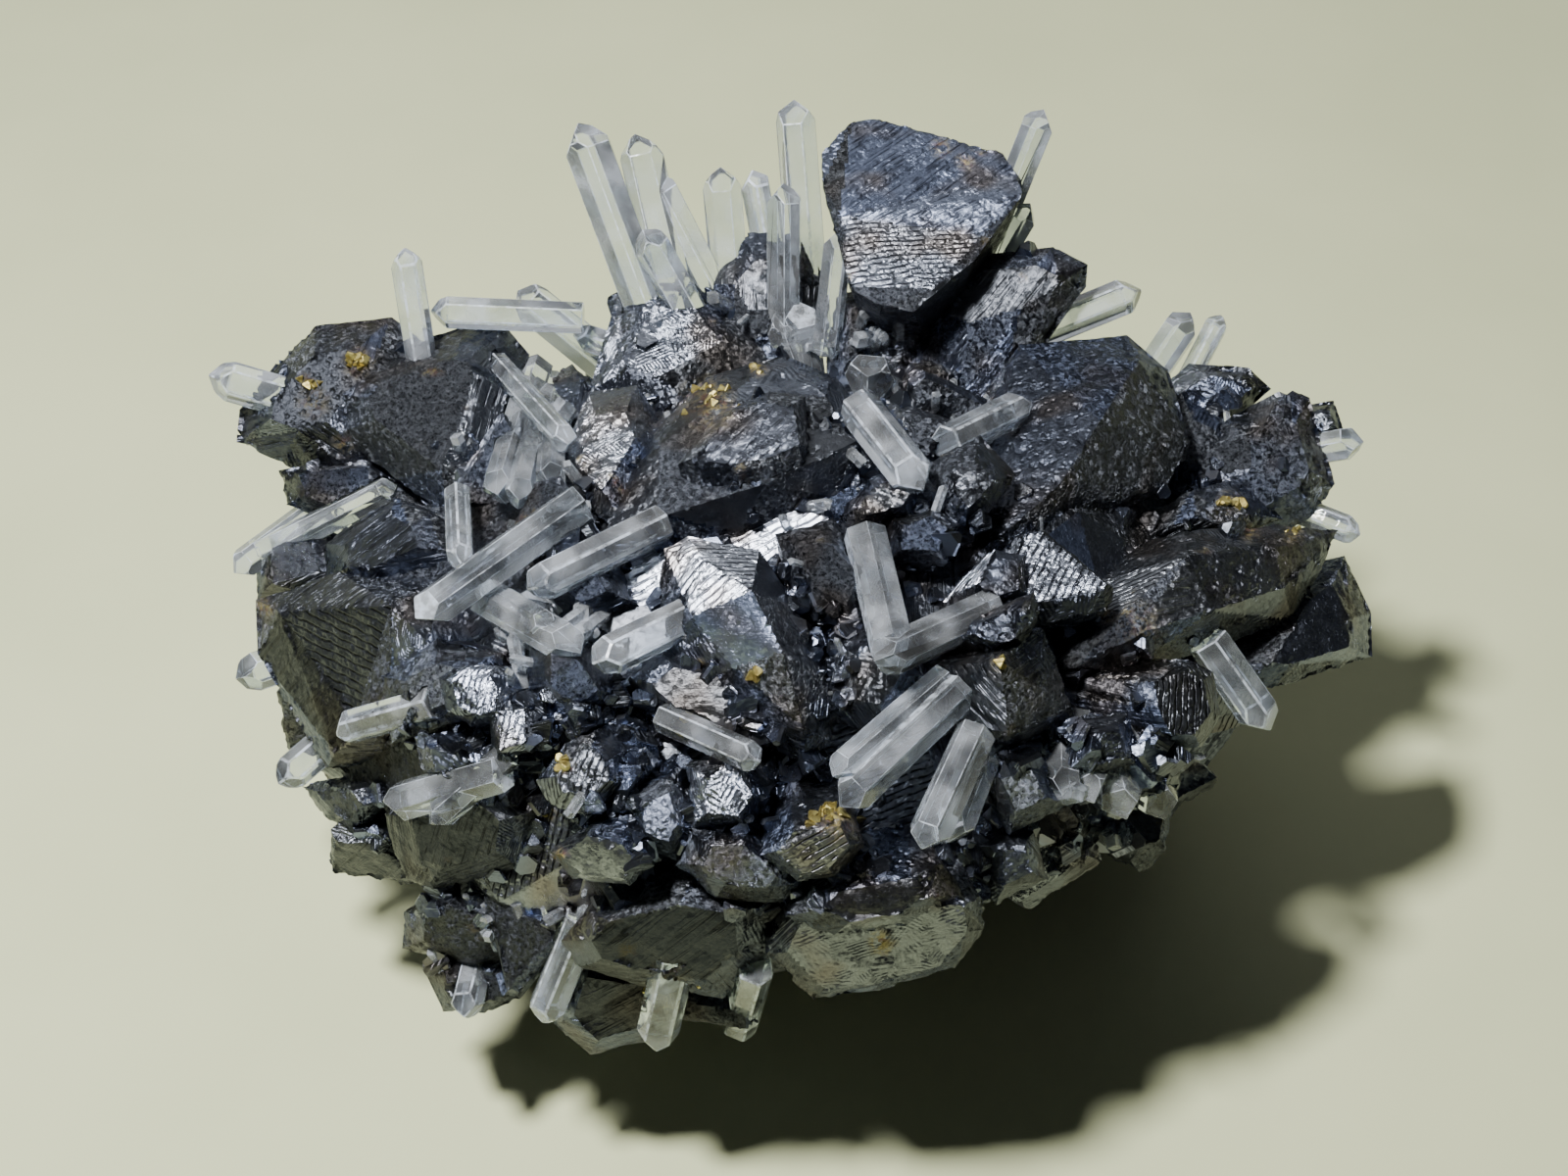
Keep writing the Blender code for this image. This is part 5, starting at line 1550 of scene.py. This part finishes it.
    def build(self, table: FaceTable, sphalerite: bpy.types.Material,
              quartz: bpy.types.Material) -> list[bpy.types.Object]:
        """Build the small crystals.

        Args:
            table: the flat faces of the mass.
            sphalerite: the mass's material.
            quartz: the prisms' material.

        Returns:
            One piece for each kind.
        """
        rng = np.random.default_rng(self.seed)
        spots = {kind: [] for kind in Small}
        for growth in GROWTHS:
            for place, normal in self.spots(growth, table, rng):
                size = rng.uniform(growth.small_mm, growth.large_mm) * MM
                spots[growth.kind].append((place, normal, size))
        for kind, count, sizes in ((Small.SPHALERITE, self.hidden_grains, self.hidden_grain_mm),
                                   (Small.QUARTZ, self.hidden_needles, self.hidden_needle_mm)):
            for place, normal in self.hidden_spots(count * self.tries_each, table, rng):
                spots[kind].append((place, normal, rng.uniform(*sizes) * MM))
        grains = [self.grain_template(i) for i in range(self.grain_shapes)]
        needles = [self.needle_template(i) for i in range(self.needle_shapes)]
        brass = [self.grain_template(i + 10) for i in range(self.brass_shapes)]
        made = [
            self.scatter("sphalerite_grains", grains, spots[Small.SPHALERITE], rng, 0.8, -0.05),
            self.scatter("quartz_needles", needles, spots[Small.QUARTZ], rng, 0.4, 0.0),
            self.scatter("chalcopyrite_grains", brass, spots[Small.BRASS], rng, 0.8, 0.05),
        ]
        self.dress_grains(made[0], rng)
        box_map(made[1])
        # Painted highlight: random faces of the needles are whitened as if they caught the light.
        write_rims(made[1].data, rng.uniform(0.0, self.needle_painted_highlight, len(made[1].data.polygons)))
        for piece, material, name in zip(made, (sphalerite, quartz, self.brass_finish.build()),
                                         ("sphalerite", "quartz", "sphalerite")):
            piece.data.materials.append(material)
            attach(piece, BODY)
            LOG.info("%s: %d faces", piece.name, len(piece.data.polygons))
        return made


def box_map(piece: bpy.types.Object) -> None:
    """Lay plain coordinates, in millimetres, on a piece: height first, then x and y together.

    Args:
        piece: the piece.
    """
    mesh = piece.data
    places, corners = mesh_arrays(mesh)
    flat = np.stack((places[:, 2], places[:, 0] + places[:, 1]), axis=1) / MM
    lay_coordinates(mesh, flat[corners])


@dataclass
class Studio:
    """The plain pale floor and the plain soft light."""
    key_distance: float = 0.42
    key_size: float = 0.062
    key_power: float = 3.5
    panel_way: Vector = field(default_factory=lambda: Vector((-0.2, 0.84, 0.5)))
    panel_distance: float = 0.95
    panel_size: float = 1.0
    panel_power: float = 1.5
    world_colour: str = "#4c4e52"
    world_strength: float = 0.42
    floor: FloorFinish = field(default_factory=FloorFinish)

    def build(self) -> None:
        """Build the floor, the lamps and the surroundings."""
        bpy.ops.object.select_all(action="DESELECT")
        bpy.ops.mesh.primitive_plane_add(size=3.0, location=(0.0, 0.0, 0.0))
        floor = bpy.context.active_object
        floor.name = "floor"
        floor.data.materials.append(self.floor.build())
        self.lamp("key", KEY_WAY, self.key_distance, self.key_size, self.key_power)
        self.lamp("panel", self.panel_way, self.panel_distance, self.panel_size, self.panel_power)
        world = bpy.data.worlds.new("surroundings")
        world.use_nodes = True
        background = world.node_tree.nodes["Background"]
        background.inputs["Color"].default_value = linear(self.world_colour)
        background.inputs["Strength"].default_value = self.world_strength
        bpy.context.scene.world = world

    def lamp(self, name: str, way: Vector, distance: float, size: float, power: float) -> None:
        """Add one round area lamp that points at the specimen.

        Args:
            name: the lamp's name.
            way: where it stands, as seen from the specimen.
            distance: how far off it stands, in metres.
            size: how wide it is, in metres.
            power: its power in watts.
        """
        data = bpy.data.lights.new(name, "AREA")
        data.shape = "DISK"
        data.size = size
        data.energy = power
        lamp = bpy.data.objects.new(name, data)
        lamp.location = SHEET.aim + way.normalized() * distance
        lamp.rotation_euler = (-way).to_track_quat("-Z", "Y").to_euler()
        bpy.context.scene.collection.objects.link(lamp)


def main() -> None:
    """Build the specimen and its stage."""
    logging.basicConfig(level=logging.INFO)
    SHEET.add_camera()
    Studio().build()
    sphalerite = SphaleriteFinish().build()
    quartz = QuartzFinish().build()
    mass = SphaleriteMass()
    table = mass.face_table()
    LOG.info("mass has %d flat faces", len(table.relief))
    for piece in mass.build(table, sphalerite):
        LOG.info("%s: %d faces", piece.name, len(piece.data.polygons))
    prisms = QuartzGrowth().build(quartz)
    LOG.info("%d quartz pieces", len(prisms))
    Druse().build(table, sphalerite, quartz)


if __name__ == "__main__":
    main()
